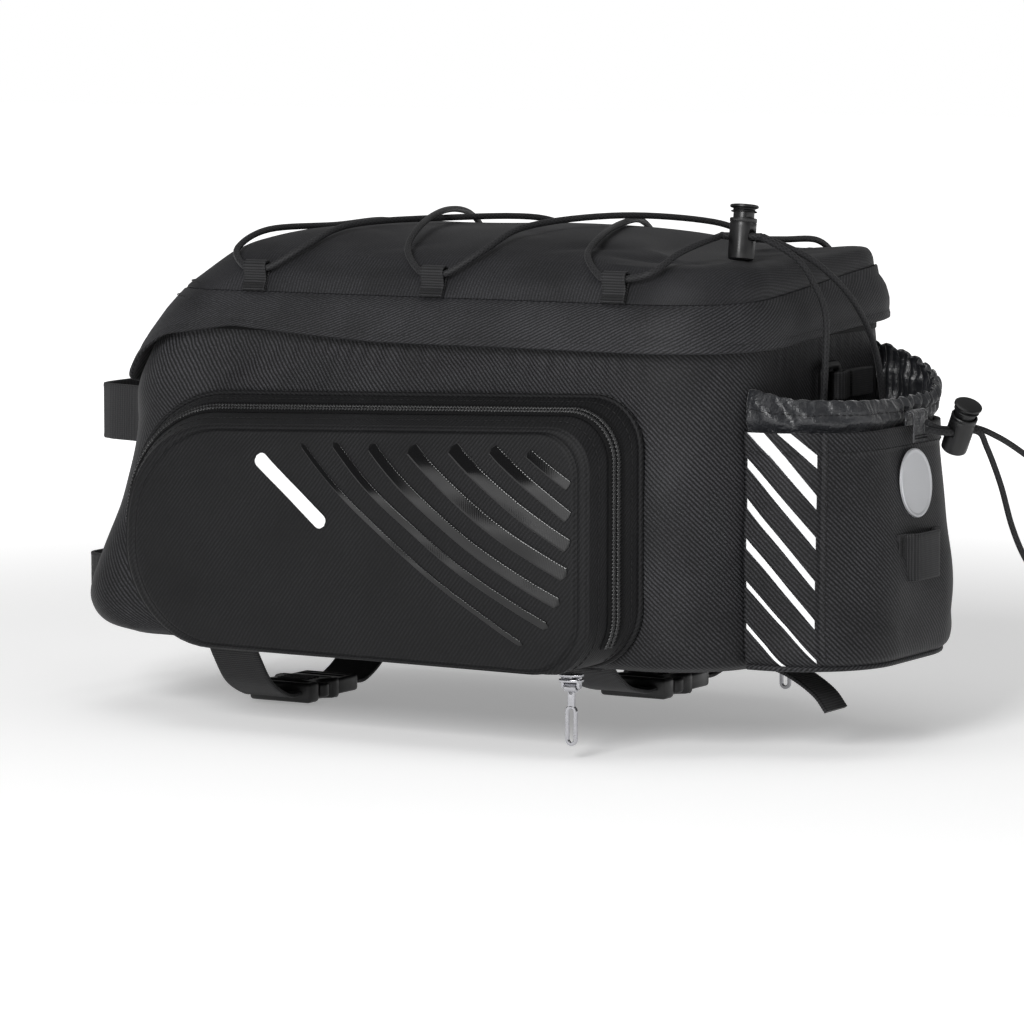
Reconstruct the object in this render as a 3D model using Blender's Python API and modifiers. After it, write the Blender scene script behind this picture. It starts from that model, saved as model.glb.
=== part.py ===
"""Bicycle rack bag: a raked tub under a crowned lid, with a rain flap over its zip, a pocket on each
side, a gathered bottle pocket behind, elastic lacing with a cord lock, and straps below its base.

Metres, +Z up. The origin is the middle of the base, where the bag sits on a rack. +X points to the
bottle pocket and -Y to the bag's left side. Tables hold shares of the sizes named in their comments.
"""
import math

import bmesh
import bpy
from mathutils import Matrix, Vector

# Sizes of the body
CLEARANCE = 0.0003
BODY_FRONT = 0.1704
BODY_REAR = 0.1565
BODY_WIDTH = 0.170
SEAM_HEIGHT = 0.152
BODY_WALL = 0.003
FRONT_RADIUS = 0.028
REAR_RADIUS = 0.040
LID_RISE = 0.027
LID_REAR_LIFT = 0.008

# Sizes of the flap and the main zip
FLAP_HEIGHT = 0.0185
FLAP_STAND = 0.0045
FLAP_THICKNESS = 0.002
ZIP_WIDTH = 0.008
ZIP_THICKNESS = 0.0012
MAIN_ZIP_DROP = 0.010

# Sizes of the side pockets
POCKET_DEPTH = 0.025
POCKET_CROWN = 0.005
POCKET_WALL = 0.002
POCKET_FRONT = 0.124
POCKET_REAR = 0.107
POCKET_TOP = 0.103
POCKET_LEAN = 0.012

# Sizes of the bottle pocket and its collar
BOTTLE_WIDTH = 0.124
BOTTLE_DEPTH = 0.0515
BOTTLE_HEIGHT = 0.100
BOTTLE_RADIUS = 0.041
BOTTLE_WALL = 0.0025
COLLAR_HEIGHT = 0.012
COLLAR_WALL = 0.0014
COLLAR_GATHER = 0.0008
TAB_WIDTH = 0.013
TAB_THICKNESS = 0.005

# Sizes of the cords and their locks
BUNGEE_DIAMETER = 0.0028
DRAWCORD_DIAMETER = 0.0026
LOCK_HEIGHT = 0.0175
LOCK_RADIUS = 0.0056
LOCK_WALL = 0.0009
LOCK_FLOOR = 0.0015
LOCK_TRAVEL = 0.0022
LOCK_HOLE_HEIGHT = 0.010
CORD_LEAD = 0.002
PLUNGER_HEAD_RADIUS = 0.006
PLUNGER_HEAD_HEIGHT = 0.0032

# Sizes of the webbing, the ring and the badge
WEBBING = 0.0018
STRAP_WIDTH = 0.025
HANDLE_REACH = 0.030
LOWER_LOOP_REACH = 0.014
LOWER_LOOP_WIDTH = 0.020
CORD_LOOP_WIDTH = 0.011
CORD_LOOP_HEIGHT = 0.0105
CORD_LOOP_WEB = 0.001
RING_WIDTH = 0.018
RING_HEIGHT = 0.022
RING_BAR = 0.0036
RING_TAB_LENGTH = 0.034
RING_TAB_WIDTH = 0.012
BADGE_DIAMETER = 0.029
BADGE_THICKNESS = 0.0015
LIGHT_LOOP_LENGTH = 0.040
LIGHT_LOOP_WIDTH = 0.020
LIGHT_LOOP_STAND = 0.0045
FRONT_STRAP_PLACE = -0.0995
FRONT_STRAP_SAG = 0.030
MIDDLE_STRAP_PLACE = 0.080
MIDDLE_STRAP_SAG = 0.015
REAR_STRAP_SIDE = -0.020
REAR_STRAP_WIDTH = 0.020
REAR_STRAP_SAG = 0.022
BUCKLE_WIDTH = 0.032
BUCKLE_HEIGHT = 0.009
BUCKLE_EDGE = 0.0015
HANDLE_SPAN = 0.114
LOWER_LOOP_SPAN = 0.110
RING_CORNER = 0.004

# Sizes of the zip pulls
SLIDER_LENGTH = 0.010
SLIDER_WIDTH = 0.008
SLIDER_HEIGHT = 0.0035
PULL_LENGTH = 0.0245
PULL_WIDTH = 0.0055
PULL_THICKNESS = 0.0016
PULL_BAR_RADIUS = 0.0008
PULL_EYE_WALL = 0.0009
LUG_THICKNESS = 0.0012
LUG_WIDTH = 0.003

# Sections of the tub. Columns: height share of SEAM_HEIGHT, then reach shares of BODY_FRONT,
# BODY_REAR and half of BODY_WIDTH
BODY_SECTIONS = (
    (0.000, 0.890, 0.965, 0.940),
    (0.020, 0.955, 0.990, 0.985),
    (0.060, 0.992, 1.000, 1.000),
    (0.120, 1.000, 1.000, 1.000),
    (0.230, 0.962, 1.000, 1.000),
    (0.360, 0.910, 1.000, 1.000),
    (0.460, 0.884, 1.000, 1.000),
    (0.600, 0.852, 1.000, 1.000),
    (0.710, 0.842, 1.000, 1.000),
    (0.815, 0.798, 1.000, 1.000),
    (0.890, 0.752, 1.000, 1.000),
    (1.000, 0.690, 1.000, 1.000),
)
# Sections of the lid. Columns: rise share of LID_RISE, then reach shares of BODY_FRONT, BODY_REAR
# and half of BODY_WIDTH, then the share of LID_REAR_LIFT
LID_SECTIONS = (
    (0.00, 0.690, 1.000, 1.000, 0.0),
    (0.05, 0.690, 1.000, 1.000, 0.2),
    (0.30, 0.640, 0.995, 0.965, 1.0),
    (0.54, 0.594, 0.955, 0.895, 0.6),
    (0.63, 0.572, 0.780, 0.855, 0.2),
    (0.76, 0.530, 0.640, 0.760, 0.0),
    (0.90, 0.440, 0.540, 0.580, 0.0),
    (0.98, 0.310, 0.420, 0.340, 0.0),
    (1.00, 0.160, 0.280, 0.110, 0.0),
)
# Drop of the flap's hem. Columns: place along X as a share of BODY_REAR, drop in FLAP_HEIGHT
FLAP_DROPS = (
    (-0.76, 2.40),
    (-0.74, 2.20),
    (-0.70, 1.50),
    (-0.64, 1.00),
    (-0.45, 0.72),
    (-0.26, 0.84),
    (0.00, 0.98),
    (1.00, 1.00),
)
# Corners of a side pocket's panel. Columns: X share of POCKET_FRONT (minus) or POCKET_REAR (plus),
# Z share of POCKET_TOP, radius share of POCKET_TOP
PANEL_CORNERS = (
    (1.000, -0.010, 0.22),
    (1.000, 1.000, 0.17),
    (-0.960, 0.925, 0.45),
    (-1.000, 0.005, 0.42),
)
# Side pocket rings. Columns: depth share of POCKET_DEPTH, spread share of POCKET_LEAN, size share
# of the panel, crown share of POCKET_CROWN
POCKET_RINGS = (
    (0.00, 1.00, 1.00, 0.0),
    (0.05, 1.00, 1.00, 0.0),
    (0.45, 0.55, 1.00, 0.0),
    (0.90, 0.10, 1.00, 0.0),
    (1.00, 0.00, 0.98, 0.1),
    (1.00, 0.00, 0.88, 0.5),
    (1.00, 0.00, 0.66, 0.85),
    (1.00, 0.00, 0.34, 1.0),
)
# Bottle pocket sections. Columns: height share of BOTTLE_HEIGHT, depth share of BOTTLE_DEPTH,
# share of half of BOTTLE_WIDTH
BOTTLE_SECTIONS = (
    (0.02, 0.90, 0.96),
    (0.08, 0.99, 0.99),
    (0.28, 1.00, 1.00),
    (0.60, 0.94, 1.00),
    (1.00, 0.87, 1.00),
)
# Top of the gathered collar along its U. Columns: share of the way, height in COLLAR_HEIGHT
COLLAR_TOPS = (
    (0.00, 1.50),
    (0.10, 1.15),
    (0.50, 0.95),
    (0.65, 1.05),
    (0.85, 1.90),
    (1.00, 2.55),
)
# Hanging line of a rack strap. Columns: share of half of the body's width, share of the sag
STRAP_LINE = (
    (-0.84, 0.00),
    (-0.74, 0.00),
    (-0.67, 0.30),
    (-0.55, 0.72),
    (-0.38, 0.96),
    (-0.27, 0.97),
)
LACE_PLACES = (-0.070, 0.0185, 0.1055)
LACE_ABOVE_SEAM = 0.0025
LACE_RUN = 0.0125
LACE_RISE = 0.0016
LACE_BOW = 0.012
# Shape of a leg of the lacing. Columns: share of the way across, shares of LACE_RUN at its start and
# at its end, share of LACE_RISE
LEG_SHAPE = (
    (0.070, 1.0, 0.0, 0.7),
    (0.210, 0.6, 0.0, 1.0),
    (0.500, 0.0, 0.0, 0.2),
    (0.790, 0.0, 0.6, 1.0),
    (0.930, 0.0, 1.0, 0.7),
)
# Loops in the order that the cord takes them: number along the bag, side, way along the bag
LACE_STOPS = (
    (2, 1, -1),
    (1, -1, -1),
    (0, 1, -1),
    (0, -1, 1),
    (1, 1, 1),
    (2, -1, 1),
)
# Extra height of each leg in its middle, so that the legs cross one above the other
LEG_LIFTS = (0.0034, 0.0034, 0.0, 0.0, 0.0)
# The cord from the lock to its first loop, and from its last loop. Columns: way ahead of the rear
# wall, Y, lift off the lid
FIRST_LEG = (
    (0.0355, 0.0000, 0.0045),
    (0.0365, 0.0380, 0.0024),
    (0.0335, 0.0640, 0.0022),
    (0.0350, 0.0790, 0.0018),
)
LAST_LEG = (
    (0.0350, -0.0790, 0.0020),
    (0.0300, -0.0660, 0.0040),
)
# The cord's two tails, in the bottle pocket and up to the lock. Columns: way behind the rear wall, Y, Z
RIGHT_TAIL = (
    (0.0170, 0.0200, 0.0720),
    (0.0185, 0.0245, 0.0920),
    (0.0190, 0.0235, 0.1100),
    (0.0190, 0.0140, 0.1330),
    (0.0160, -0.0020, 0.1530),
    (0.0070, -0.0195, 0.1690),
)
LEFT_TAIL = (
    (0.0050, -0.0300, 0.1700),
    (0.0105, -0.0225, 0.1570),
    (0.0130, -0.0190, 0.1450),
    (0.0130, -0.0190, 0.1240),
    (0.0120, -0.0180, 0.1050),
    (0.0130, -0.0160, 0.0800),
)
# The drawcord's free loop. Columns: way from the lock, drop below it
LOOP_LINE = (
    (0.0120, 0.0040),
    (0.0240, 0.0110),
    (0.0340, 0.0180),
    (0.0460, 0.0290),
    (0.0570, 0.0430),
    (0.0640, 0.0590),
    (0.0630, 0.0710),
    (0.0560, 0.0770),
    (0.0460, 0.0750),
    (0.0360, 0.0680),
    (0.0260, 0.0560),
    (0.0190, 0.0420),
    (0.0130, 0.0240),
    (0.0060, 0.0080),
)
# Line of the rear strap. Columns: place along X as a share of BODY_REAR, share of REAR_STRAP_SAG
REAR_STRAP_LINE = (
    (0.900, 0.00),
    (0.970, 0.05),
    (1.030, 0.22),
    (1.090, 0.50),
    (1.125, 0.80),
)
# Place of the lid's lock: way ahead of the rear wall, Y. Place of the pocket's lock: way behind the rear
# wall, Y, drop below the pocket's rim
TOP_LOCK_PLACE = (0.015, -0.042)
TOP_LOCK_TILT = -8.0
BOTTLE_LOCK_PLACE = (0.0550, 0.0175, 0.0110)
BOTTLE_LOCK_TURN = 58.0
BOTTLE_LOCK_TILT = 30.0
RING_PLACE = (0.0035, 0.1145)
BADGE_DROP = 0.003
LIGHT_LOOP_DROP = 0.0055
HANDLE_HEIGHT = 0.094
LOWER_LOOP_HEIGHT = 0.020
SLIDER_PLACE = 0.0925
CORNER_STEPS = 5

PARTS = "bicycle_bag"
CUTTERS = "cutters"
LEFT = -1
RIGHT = 1

# Colour, roughness and metallic value of each material
FINISHES = {
    "black_cloth": ((0.028, 0.028, 0.030), 0.85, 0.0),
    "zip_tape": ((0.020, 0.020, 0.022), 0.75, 0.0),
    "webbing_black": ((0.024, 0.024, 0.026), 0.80, 0.0),
    "nylon_grey": ((0.060, 0.060, 0.064), 0.45, 0.0),
    "elastic_cord": ((0.018, 0.018, 0.019), 0.60, 0.0),
    "black_plastic": ((0.022, 0.022, 0.023), 0.35, 0.0),
    "bright_metal": ((0.620, 0.600, 0.600), 0.22, 1.0),
    "silver_badge": ((0.560, 0.560, 0.570), 0.40, 0.3),
}


def clear_scene():
    """Empties the file and adds the two collections."""
    for item in list(bpy.data.objects):
        bpy.data.objects.remove(item, do_unlink=True)
    for name in (PARTS, CUTTERS):
        group = bpy.data.collections.new(name)
        bpy.context.scene.collection.children.link(group)


def finish(name):
    """Material of one name, made once."""
    found = bpy.data.materials.get(name)
    if found:
        return found
    colour, roughness, metallic = FINISHES[name]
    made = bpy.data.materials.new(name)
    made.use_nodes = True
    shader = made.node_tree.nodes["Principled BSDF"]
    shader.inputs["Base Color"].default_value = (*colour, 1.0)
    shader.inputs["Roughness"].default_value = roughness
    shader.inputs["Metallic"].default_value = metallic
    made.diffuse_color = (*colour, 1.0)
    return made


def add_object(name, data, material, group=PARTS):
    """Links new mesh or curve data as an object of the given collection."""
    item = bpy.data.objects.new(name, data)
    bpy.data.collections[group].objects.link(item)
    if material:
        data.materials.append(finish(material))
    if group == CUTTERS:
        item.hide_render = True
        item.display_type = "WIRE"
    return item


def skin(name, rings, material, ring_closed=True, path_closed=False, caps="none", rim=(), sharp=40.0):
    """Quads between neighbouring rings of points. Caps are none, start, end or both.

    Rim holds more points that close the outline of the start cap.
    """
    form = bmesh.new()
    rows = [[form.verts.new(point) for point in ring] for ring in rings]
    count = len(rings[0])
    spans = count if ring_closed else count - 1
    pairs = len(rows) if path_closed else len(rows) - 1
    for index in range(pairs):
        low = rows[index]
        high = rows[(index + 1) % len(rows)]
        for step in range(spans):
            nxt = (step + 1) % count
            form.faces.new((low[step], low[nxt], high[nxt], high[step]))
    if caps in ("start", "both"):
        edge = rows[0] + [form.verts.new(point) for point in rim]
        form.faces.new(edge[::-1])
    if caps in ("end", "both"):
        form.faces.new(rows[-1])
    if caps == "both" or (ring_closed and path_closed):
        bmesh.ops.recalc_face_normals(form, faces=form.faces)
    mesh = bpy.data.meshes.new(name)
    form.to_mesh(mesh)
    form.free()
    mesh.shade_smooth()
    mesh.set_sharp_from_angle(angle=math.radians(sharp))
    return add_object(name, mesh, material)


def thicken(item, wall):
    """Gives an open surface its wall, on the inner side."""
    solid = item.modifiers.new("wall", "SOLIDIFY")
    solid.thickness = wall
    solid.offset = -1.0
    solid.use_even_offset = True
    solid.use_quality_normals = True


def mirrored(source, name):
    """Copy of an object on the bag's other side, with its modifiers."""
    mesh = source.data.copy()
    mesh.transform(Matrix.Scale(-1.0, 4, Vector((0.0, 1.0, 0.0))))
    mesh.flip_normals()
    item = bpy.data.objects.new(name, mesh)
    bpy.data.collections[PARTS].objects.link(item)
    for modifier in source.modifiers:
        if modifier.type == "SOLIDIFY":
            thicken(item, modifier.thickness)
    return item


def row_at(table, key):
    """A table's columns at a key between two of its rows."""
    low = table[0]
    for high in table[1:]:
        if key <= high[0]:
            share = max(0.0, (key - low[0]) / (high[0] - low[0]))
            return [a + (b - a) * share for a, b in zip(low[1:], high[1:])]
        low = high
    return list(table[-1][1:])


def smooth_line(points, steps):
    """Points of a smooth curve that passes through the given ones."""
    chain = [Vector(point) for point in points]
    chain = [chain[0] * 2 - chain[1]] + chain + [chain[-1] * 2 - chain[-2]]
    line = []
    for index in range(1, len(chain) - 2):
        before, here, after, beyond = chain[index - 1:index + 3]
        for step in range(steps):
            t = step / steps
            pull = (after - before) * t
            bend = (before * 2 - here * 5 + after * 4 - beyond) * t * t
            twist = (here * 3 - before - after * 3 + beyond) * t * t * t
            line.append((here * 2 + pull + bend + twist) / 2)
    line.append(chain[-2])
    return line


def arc_points(centre, radius, start, end, steps):
    """Points of an arc in a plane, from one angle to another in degrees."""
    points = []
    for step in range(steps + 1):
        angle = math.radians(start + (end - start) * step / steps)
        points.append((centre[0] + radius * math.cos(angle), centre[1] + radius * math.sin(angle)))
    return points


def between(first, last, count):
    """Points between two others, without either."""
    shares = [(step + 1) / (count + 1) for step in range(count)]
    return [tuple(a + (b - a) * share for a, b in zip(first, last)) for share in shares]


def plan_outline(front, rear, half, offset=0.0):
    """Plan of the body at one height: a rectangle with its own front and rear corner radii."""
    scale = half / (BODY_WIDTH / 2)
    front_radius = FRONT_RADIUS * scale + offset
    rear_radius = REAR_RADIUS * scale + offset
    low_x, high_x, side = -front - offset, rear + offset, half + offset
    near_front = arc_points((low_x + front_radius, front_radius - side), front_radius, 180, 270, CORNER_STEPS)
    near_rear = arc_points((high_x - rear_radius, rear_radius - side), rear_radius, 270, 360, CORNER_STEPS)
    near = near_front + between(near_front[-1], near_rear[0], 7) + near_rear
    far = [(x, -y) for x, y in reversed(near)]
    return near + between(near[-1], far[0], 3) + far + between(far[-1], near[0], 3)


def body_plan(height, offset=0.0):
    """Plan of the tub at a height, moved outwards by an offset."""
    front, rear, half = row_at(BODY_SECTIONS, height / SEAM_HEIGHT)
    return plan_outline(front * BODY_FRONT, rear * BODY_REAR, half * BODY_WIDTH / 2, offset)


def ease(value):
    """Smooth step from 0 to 1."""
    t = min(1.0, max(0.0, value))
    return t * t * (3 - 2 * t)


def rear_lift(x, y):
    """How far the lid's seam stands up towards its right rear corner."""
    along = ease((x - 0.72 * BODY_REAR) / (0.28 * BODY_REAR))
    across = ease((y + BODY_WIDTH / 2) / BODY_WIDTH)
    return LID_REAR_LIFT * along * across


def lid_ring(share):
    """Ring of the lid at a rise share, as points in space."""
    front, rear, half, lift = row_at(LID_SECTIONS, share)
    plan = plan_outline(front * BODY_FRONT, rear * BODY_REAR, half * BODY_WIDTH / 2)
    height = SEAM_HEIGHT + CLEARANCE + LID_RISE * share
    return [Vector((x, y, height + lift * rear_lift(x, y))) for x, y in plan]


def inside_plan(x, y, share):
    """True where a point lies within the lid's plan at a rise share."""
    front, rear, half = row_at(LID_SECTIONS, share)[:3]
    radius = (FRONT_RADIUS if x < 0 else REAR_RADIUS) * half
    end = front * BODY_FRONT if x < 0 else rear * BODY_REAR
    dx = max(0.0, abs(x) - end + radius)
    dy = max(0.0, abs(y) - half * BODY_WIDTH / 2 + radius)
    return math.hypot(dx, dy) <= radius


def lid_height(x, y):
    """Height of the lid's outer face at a place in plan."""
    low, high = 0.0, 1.0
    for _ in range(24):
        middle = (low + high) / 2
        if inside_plan(x, y, middle):
            low = middle
        else:
            high = middle
    lift = row_at(LID_SECTIONS, low)[3]
    return SEAM_HEIGHT + CLEARANCE + LID_RISE * low + lift * rear_lift(x, y)


def main_body():
    """The tub: base and four walls in one piece, open at its top."""
    rings = []
    for share, *_ in BODY_SECTIONS:
        height = share * SEAM_HEIGHT
        rings.append([(x, y, height) for x, y in body_plan(height)])
    item = skin("main_body", rings, "black_cloth", caps="start")
    thicken(item, BODY_WALL)


def lid():
    """The crowned top, standing up at its right rear corner."""
    rings = [lid_ring(row[0]) for row in LID_SECTIONS]
    item = skin("lid", rings, "black_cloth", caps="end")
    thicken(item, BODY_WALL)


def flap_drop(x):
    """Height of the flap at a place along the bag."""
    return FLAP_HEIGHT * row_at(FLAP_DROPS, x / BODY_REAR)[0]


def band_rings(rows, thickness, centre_line):
    """Rings of a closed band round the body.

    Each row is a depth, the share of the way from there to the hem, and an offset.
    """
    inner = []
    outer = []
    for depth, share, offset in rows:
        inner.append(band_line(depth, share, offset, centre_line))
        outer.append(band_line(depth, share, offset + thickness, centre_line))
    lines = inner + outer[::-1]
    return [[line[index] for line in lines] for index in range(len(lines[0]))]


def band_line(depth, share, offset, centre_line):
    """One line of a band: it follows the tub's face at its own height."""
    points = []
    for index, (x, y, top, drop) in enumerate(centre_line):
        height = top - depth - share * (drop - depth)
        plan_x, plan_y = body_plan(min(height, SEAM_HEIGHT), offset)[index]
        points.append((plan_x, plan_y, height))
    return points


def rain_flap():
    """The flap sewn round the lid's seam. It stands off over the zip and drops low in front."""
    top = SEAM_HEIGHT - CLEARANCE
    line = [(x, y, top + rear_lift(x, y), flap_drop(x)) for x, y in body_plan(SEAM_HEIGHT)]
    seat = 2 * CLEARANCE + ZIP_THICKNESS
    shoulder = MAIN_ZIP_DROP - ZIP_WIDTH / 2 - 2 * CLEARANCE
    rows = (
        (0.0, 0.0, CLEARANCE), (shoulder, 0.0, seat + 0.2 * FLAP_STAND),
        (shoulder, 0.5, seat + 0.8 * FLAP_STAND), (shoulder, 1.0, seat + FLAP_STAND))
    skin("rain_flap", band_rings(rows, FLAP_THICKNESS, line), "black_cloth", path_closed=True)


def main_zip():
    """The zip round the tub's mouth, under the flap."""
    line = []
    for x, y in body_plan(SEAM_HEIGHT):
        line.append((x, y, SEAM_HEIGHT - MAIN_ZIP_DROP + ZIP_WIDTH / 2, ZIP_WIDTH))
    rows = ((0.0, 0.0, CLEARANCE), (0.0, 1.0, CLEARANCE))
    skin("main_zip", band_rings(rows, ZIP_THICKNESS, line), "zip_tape", path_closed=True)


def rounded_loop(corners, steps):
    """Closed loop with an arc at each corner. Each corner is X, Z and radius, in order."""
    loop = []
    count = len(corners)
    for index, (x, z, radius) in enumerate(corners):
        here = Vector((x, z))
        back = (Vector(corners[index - 1][:2]) - here).normalized()
        ahead = (Vector(corners[(index + 1) % count][:2]) - here).normalized()
        half = back.angle(ahead) / 2
        centre = here + (back + ahead).normalized() * (radius / math.sin(half))
        first = here + back * (radius / math.tan(half)) - centre
        turn = math.pi - 2 * half
        for step in range(steps + 1):
            spot = first.copy()
            spot.rotate(Matrix.Rotation(turn * step / steps, 2))
            loop.append(centre + spot)
    return loop


def panel_loop(spread, size):
    """The side pocket's loop, spread at its front, top and rear edges, or shrunk to its middle."""
    corners = []
    for x, z, radius in PANEL_CORNERS:
        reach = POCKET_REAR if x > 0 else POCKET_FRONT
        out = math.copysign(spread, x)
        up = spread if z > 0.5 else 0.25 * spread
        corners.append((x * reach + out, z * POCKET_TOP + up, radius * POCKET_TOP + 0.3 * spread))
    loop = add_spans(rounded_loop(corners, CORNER_STEPS), 3)
    middle = Vector(((POCKET_REAR - POCKET_FRONT) / 2, POCKET_TOP / 2))
    return [middle + (point - middle) * size for point in loop]


def add_spans(loop, count):
    """Adds points on the straight runs between a loop's arcs."""
    arc = CORNER_STEPS + 1
    full = []
    for index in range(0, len(loop), arc):
        full.extend(loop[index:index + arc])
        last = loop[index + arc - 1]
        first = loop[(index + arc) % len(loop)]
        full.extend(Vector(point) for point in between(last, first, count))
    return full


def pocket_ring(depth, spread, size, crown):
    """Ring of the left side pocket, from the body's wall outwards."""
    y = -BODY_WIDTH / 2 - CLEARANCE - depth * POCKET_DEPTH - crown * POCKET_CROWN
    loop = panel_loop(spread * POCKET_LEAN, size)
    return [Vector((point.x, y, max(point.y, CLEARANCE))) for point in loop]


def side_pockets():
    """The two side pockets: a dish with an open back against the body's wall."""
    rings = [pocket_ring(*row) for row in POCKET_RINGS]
    left = skin("side_pocket_left", rings, "black_cloth", caps="end")
    thicken(left, POCKET_WALL)
    mirrored(left, "side_pocket_right")


def gusset_point(index, depth, lift):
    """Point on the pocket's gusset at a depth share, lifted off along the face."""
    spread = 1.0 - depth
    here = pocket_ring(depth, spread, 1.0, 0.0)
    count = len(here)
    along = here[(index + 1) % count] - here[index - 1]
    outwards = pocket_ring(depth + 0.1, spread - 0.1, 1.0, 0.0)[index] - here[index]
    normal = along.cross(outwards).normalized()
    return here[index] + normal * lift


def side_zips():
    """The zip in each side pocket's gusset: up its rear edge, over the top and down its front."""
    count = len(panel_loop(0.0, 1.0))
    first = CORNER_STEPS - 2
    last = count - 6
    rings = []
    for index in range(first, last):
        inner = [gusset_point(index, depth, CLEARANCE) for depth in (0.34, 0.66)]
        outer = [gusset_point(index, depth, CLEARANCE + ZIP_THICKNESS) for depth in (0.66, 0.34)]
        rings.append(inner + outer)
    left = skin("side_zip_left", rings, "zip_tape", caps="both")
    mirrored(left, "side_zip_right")


def box(name, size, centre, material, bevel=0.0, group=PARTS):
    """A box with its size applied, and bevelled edges where asked."""
    form = bmesh.new()
    bmesh.ops.create_cube(form, size=1.0)
    bmesh.ops.scale(form, vec=size, verts=form.verts)
    bmesh.ops.translate(form, vec=centre, verts=form.verts)
    mesh = bpy.data.meshes.new(name)
    form.to_mesh(mesh)
    form.free()
    item = add_object(name, mesh, material, group)
    if bevel:
        edge = item.modifiers.new("edges", "BEVEL")
        edge.width = bevel
        edge.segments = 2
    return item


def cylinder(name, radius, low, high, material, group=PARTS, sides=20):
    """An upright cylinder between two heights of its own frame."""
    form = bmesh.new()
    bmesh.ops.create_cone(
        form, cap_ends=True, segments=sides, radius1=radius, radius2=radius, depth=high - low)
    bmesh.ops.translate(form, vec=(0.0, 0.0, (low + high) / 2), verts=form.verts)
    mesh = bpy.data.meshes.new(name)
    form.to_mesh(mesh)
    form.free()
    mesh.shade_smooth()
    mesh.set_sharp_from_angle(angle=math.radians(40))
    return add_object(name, mesh, material, group)


def combine(item, tool, operation):
    """Boolean of one object with another, by the exact solver."""
    change = item.modifiers.new(operation.lower(), "BOOLEAN")
    change.operation = operation
    change.solver = "EXACT"
    change.object = tool


def place(item, frame):
    """Puts an object in its frame."""
    item.matrix_world = frame


def turned(name, profile, material, sides=20, group=PARTS):
    """A solid turned about its own Z from a profile of radius and height, top to bottom."""
    mesh = bpy.data.meshes.new(name)
    points = [(radius, 0.0, height) for radius, height in profile]
    mesh.from_pydata(points, [(step, step + 1) for step in range(len(points) - 1)], [])
    item = add_object(name, mesh, material, group)
    screw = item.modifiers.new("turn", "SCREW")
    screw.steps = sides
    screw.render_steps = sides
    screw.use_merge_vertices = True
    screw.merge_threshold = 0.00001
    screw.use_smooth_shade = True
    return item


def cord_lock(name, frame, diameter):
    """A cord lock: a cup with a hole right through it, and a sprung plunger with its own slot."""
    bore = LOCK_RADIUS - LOCK_WALL
    shaft = bore - CLEARANCE
    hole_half = diameter / 2 + CLEARANCE
    width = 2 * diameter + 3 * CLEARANCE
    low = LOCK_HOLE_HEIGHT - hole_half
    high = LOCK_HOLE_HEIGHT + hole_half
    span = 3 * LOCK_RADIUS
    foot = LOCK_FLOOR + CLEARANCE + LOCK_TRAVEL
    neck = LOCK_HEIGHT + LOCK_TRAVEL + CLEARANCE
    top = neck + PLUNGER_HEAD_HEIGHT
    barrel = turned(name + "_barrel", (
        (0.0, LOCK_FLOOR), (bore, LOCK_FLOOR), (bore, LOCK_HEIGHT), (LOCK_RADIUS, LOCK_HEIGHT),
        (LOCK_RADIUS, 0.0), (0.0, 0.0)), "black_plastic")
    hole = box(name + "_hole", (span, width, high - low), (0.0, 0.0, LOCK_HOLE_HEIGHT), None, group=CUTTERS)
    combine(barrel, hole, "DIFFERENCE")
    plunger = turned(name + "_plunger", (
        (0.0, top), (PLUNGER_HEAD_RADIUS * 0.85, top), (PLUNGER_HEAD_RADIUS, top - 0.3 * PLUNGER_HEAD_HEIGHT),
        (PLUNGER_HEAD_RADIUS, neck), (shaft, neck), (shaft, foot), (0.0, foot)), "black_plastic")
    slot_high = high + LOCK_TRAVEL
    slot = box(name + "_slot", (span, width, slot_high - low), (0.0, 0.0, (low + slot_high) / 2), None,
               group=CUTTERS)
    combine(plunger, slot, "DIFFERENCE")
    for item in (barrel, hole, plunger, slot):
        place(item, frame)


def top_lock_frame():
    """Frame of the lock on the lacing: its foot just above the lid's rear."""
    ahead, y = TOP_LOCK_PLACE
    x = BODY_REAR - ahead
    edges = [(x + way * LOCK_RADIUS, y + other * LOCK_RADIUS) for way in (-1, 0, 1) for other in (-1, 0, 1)]
    highest = max(lid_height(*edge) for edge in edges)
    foot = highest + CLEARANCE + LOCK_RADIUS * math.sin(math.radians(abs(TOP_LOCK_TILT)))
    return Matrix.Translation((x, y, foot)) @ Matrix.Rotation(math.radians(TOP_LOCK_TILT), 4, "X")


def bottle_lock_frame():
    """Frame of the lock on the collar's drawcord, leaning out from the pocket."""
    turn = Matrix.Rotation(math.radians(BOTTLE_LOCK_TURN), 4, "Z")
    lean = Matrix.Rotation(math.radians(BOTTLE_LOCK_TILT), 4, "X")
    out, y, drop = BOTTLE_LOCK_PLACE
    return Matrix.Translation((BODY_REAR + out, y, BOTTLE_HEIGHT - drop)) @ turn @ lean


def webbing(name, path, across, width, thickness, material="webbing_black"):
    """A flat strap along the line of its middle. Across is the way of its width."""
    across = Vector(across).normalized()
    rings = []
    for index, point in enumerate(path):
        tangent = path[min(index + 1, len(path) - 1)] - path[max(index - 1, 0)]
        normal = across.cross(tangent).normalized()
        side = across * width / 2
        face = normal * thickness / 2
        rings.append([point - side - face, point + side - face, point + side + face, point - side + face])
    return skin(name, rings, material, caps="both")


def loop_frame(place_x):
    """Foot, upward way and outward way of a cord loop on the lid's left edge."""
    low = SEAM_HEIGHT + LACE_ABOVE_SEAM
    foot =Vector((place_x, side_face(low), low))
    up = Vector((0.0, side_face(low + 0.005) - side_face(low), 0.005)).normalized()
    out = Vector((0.0, -up.z, up.y))
    return foot, up, out


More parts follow.
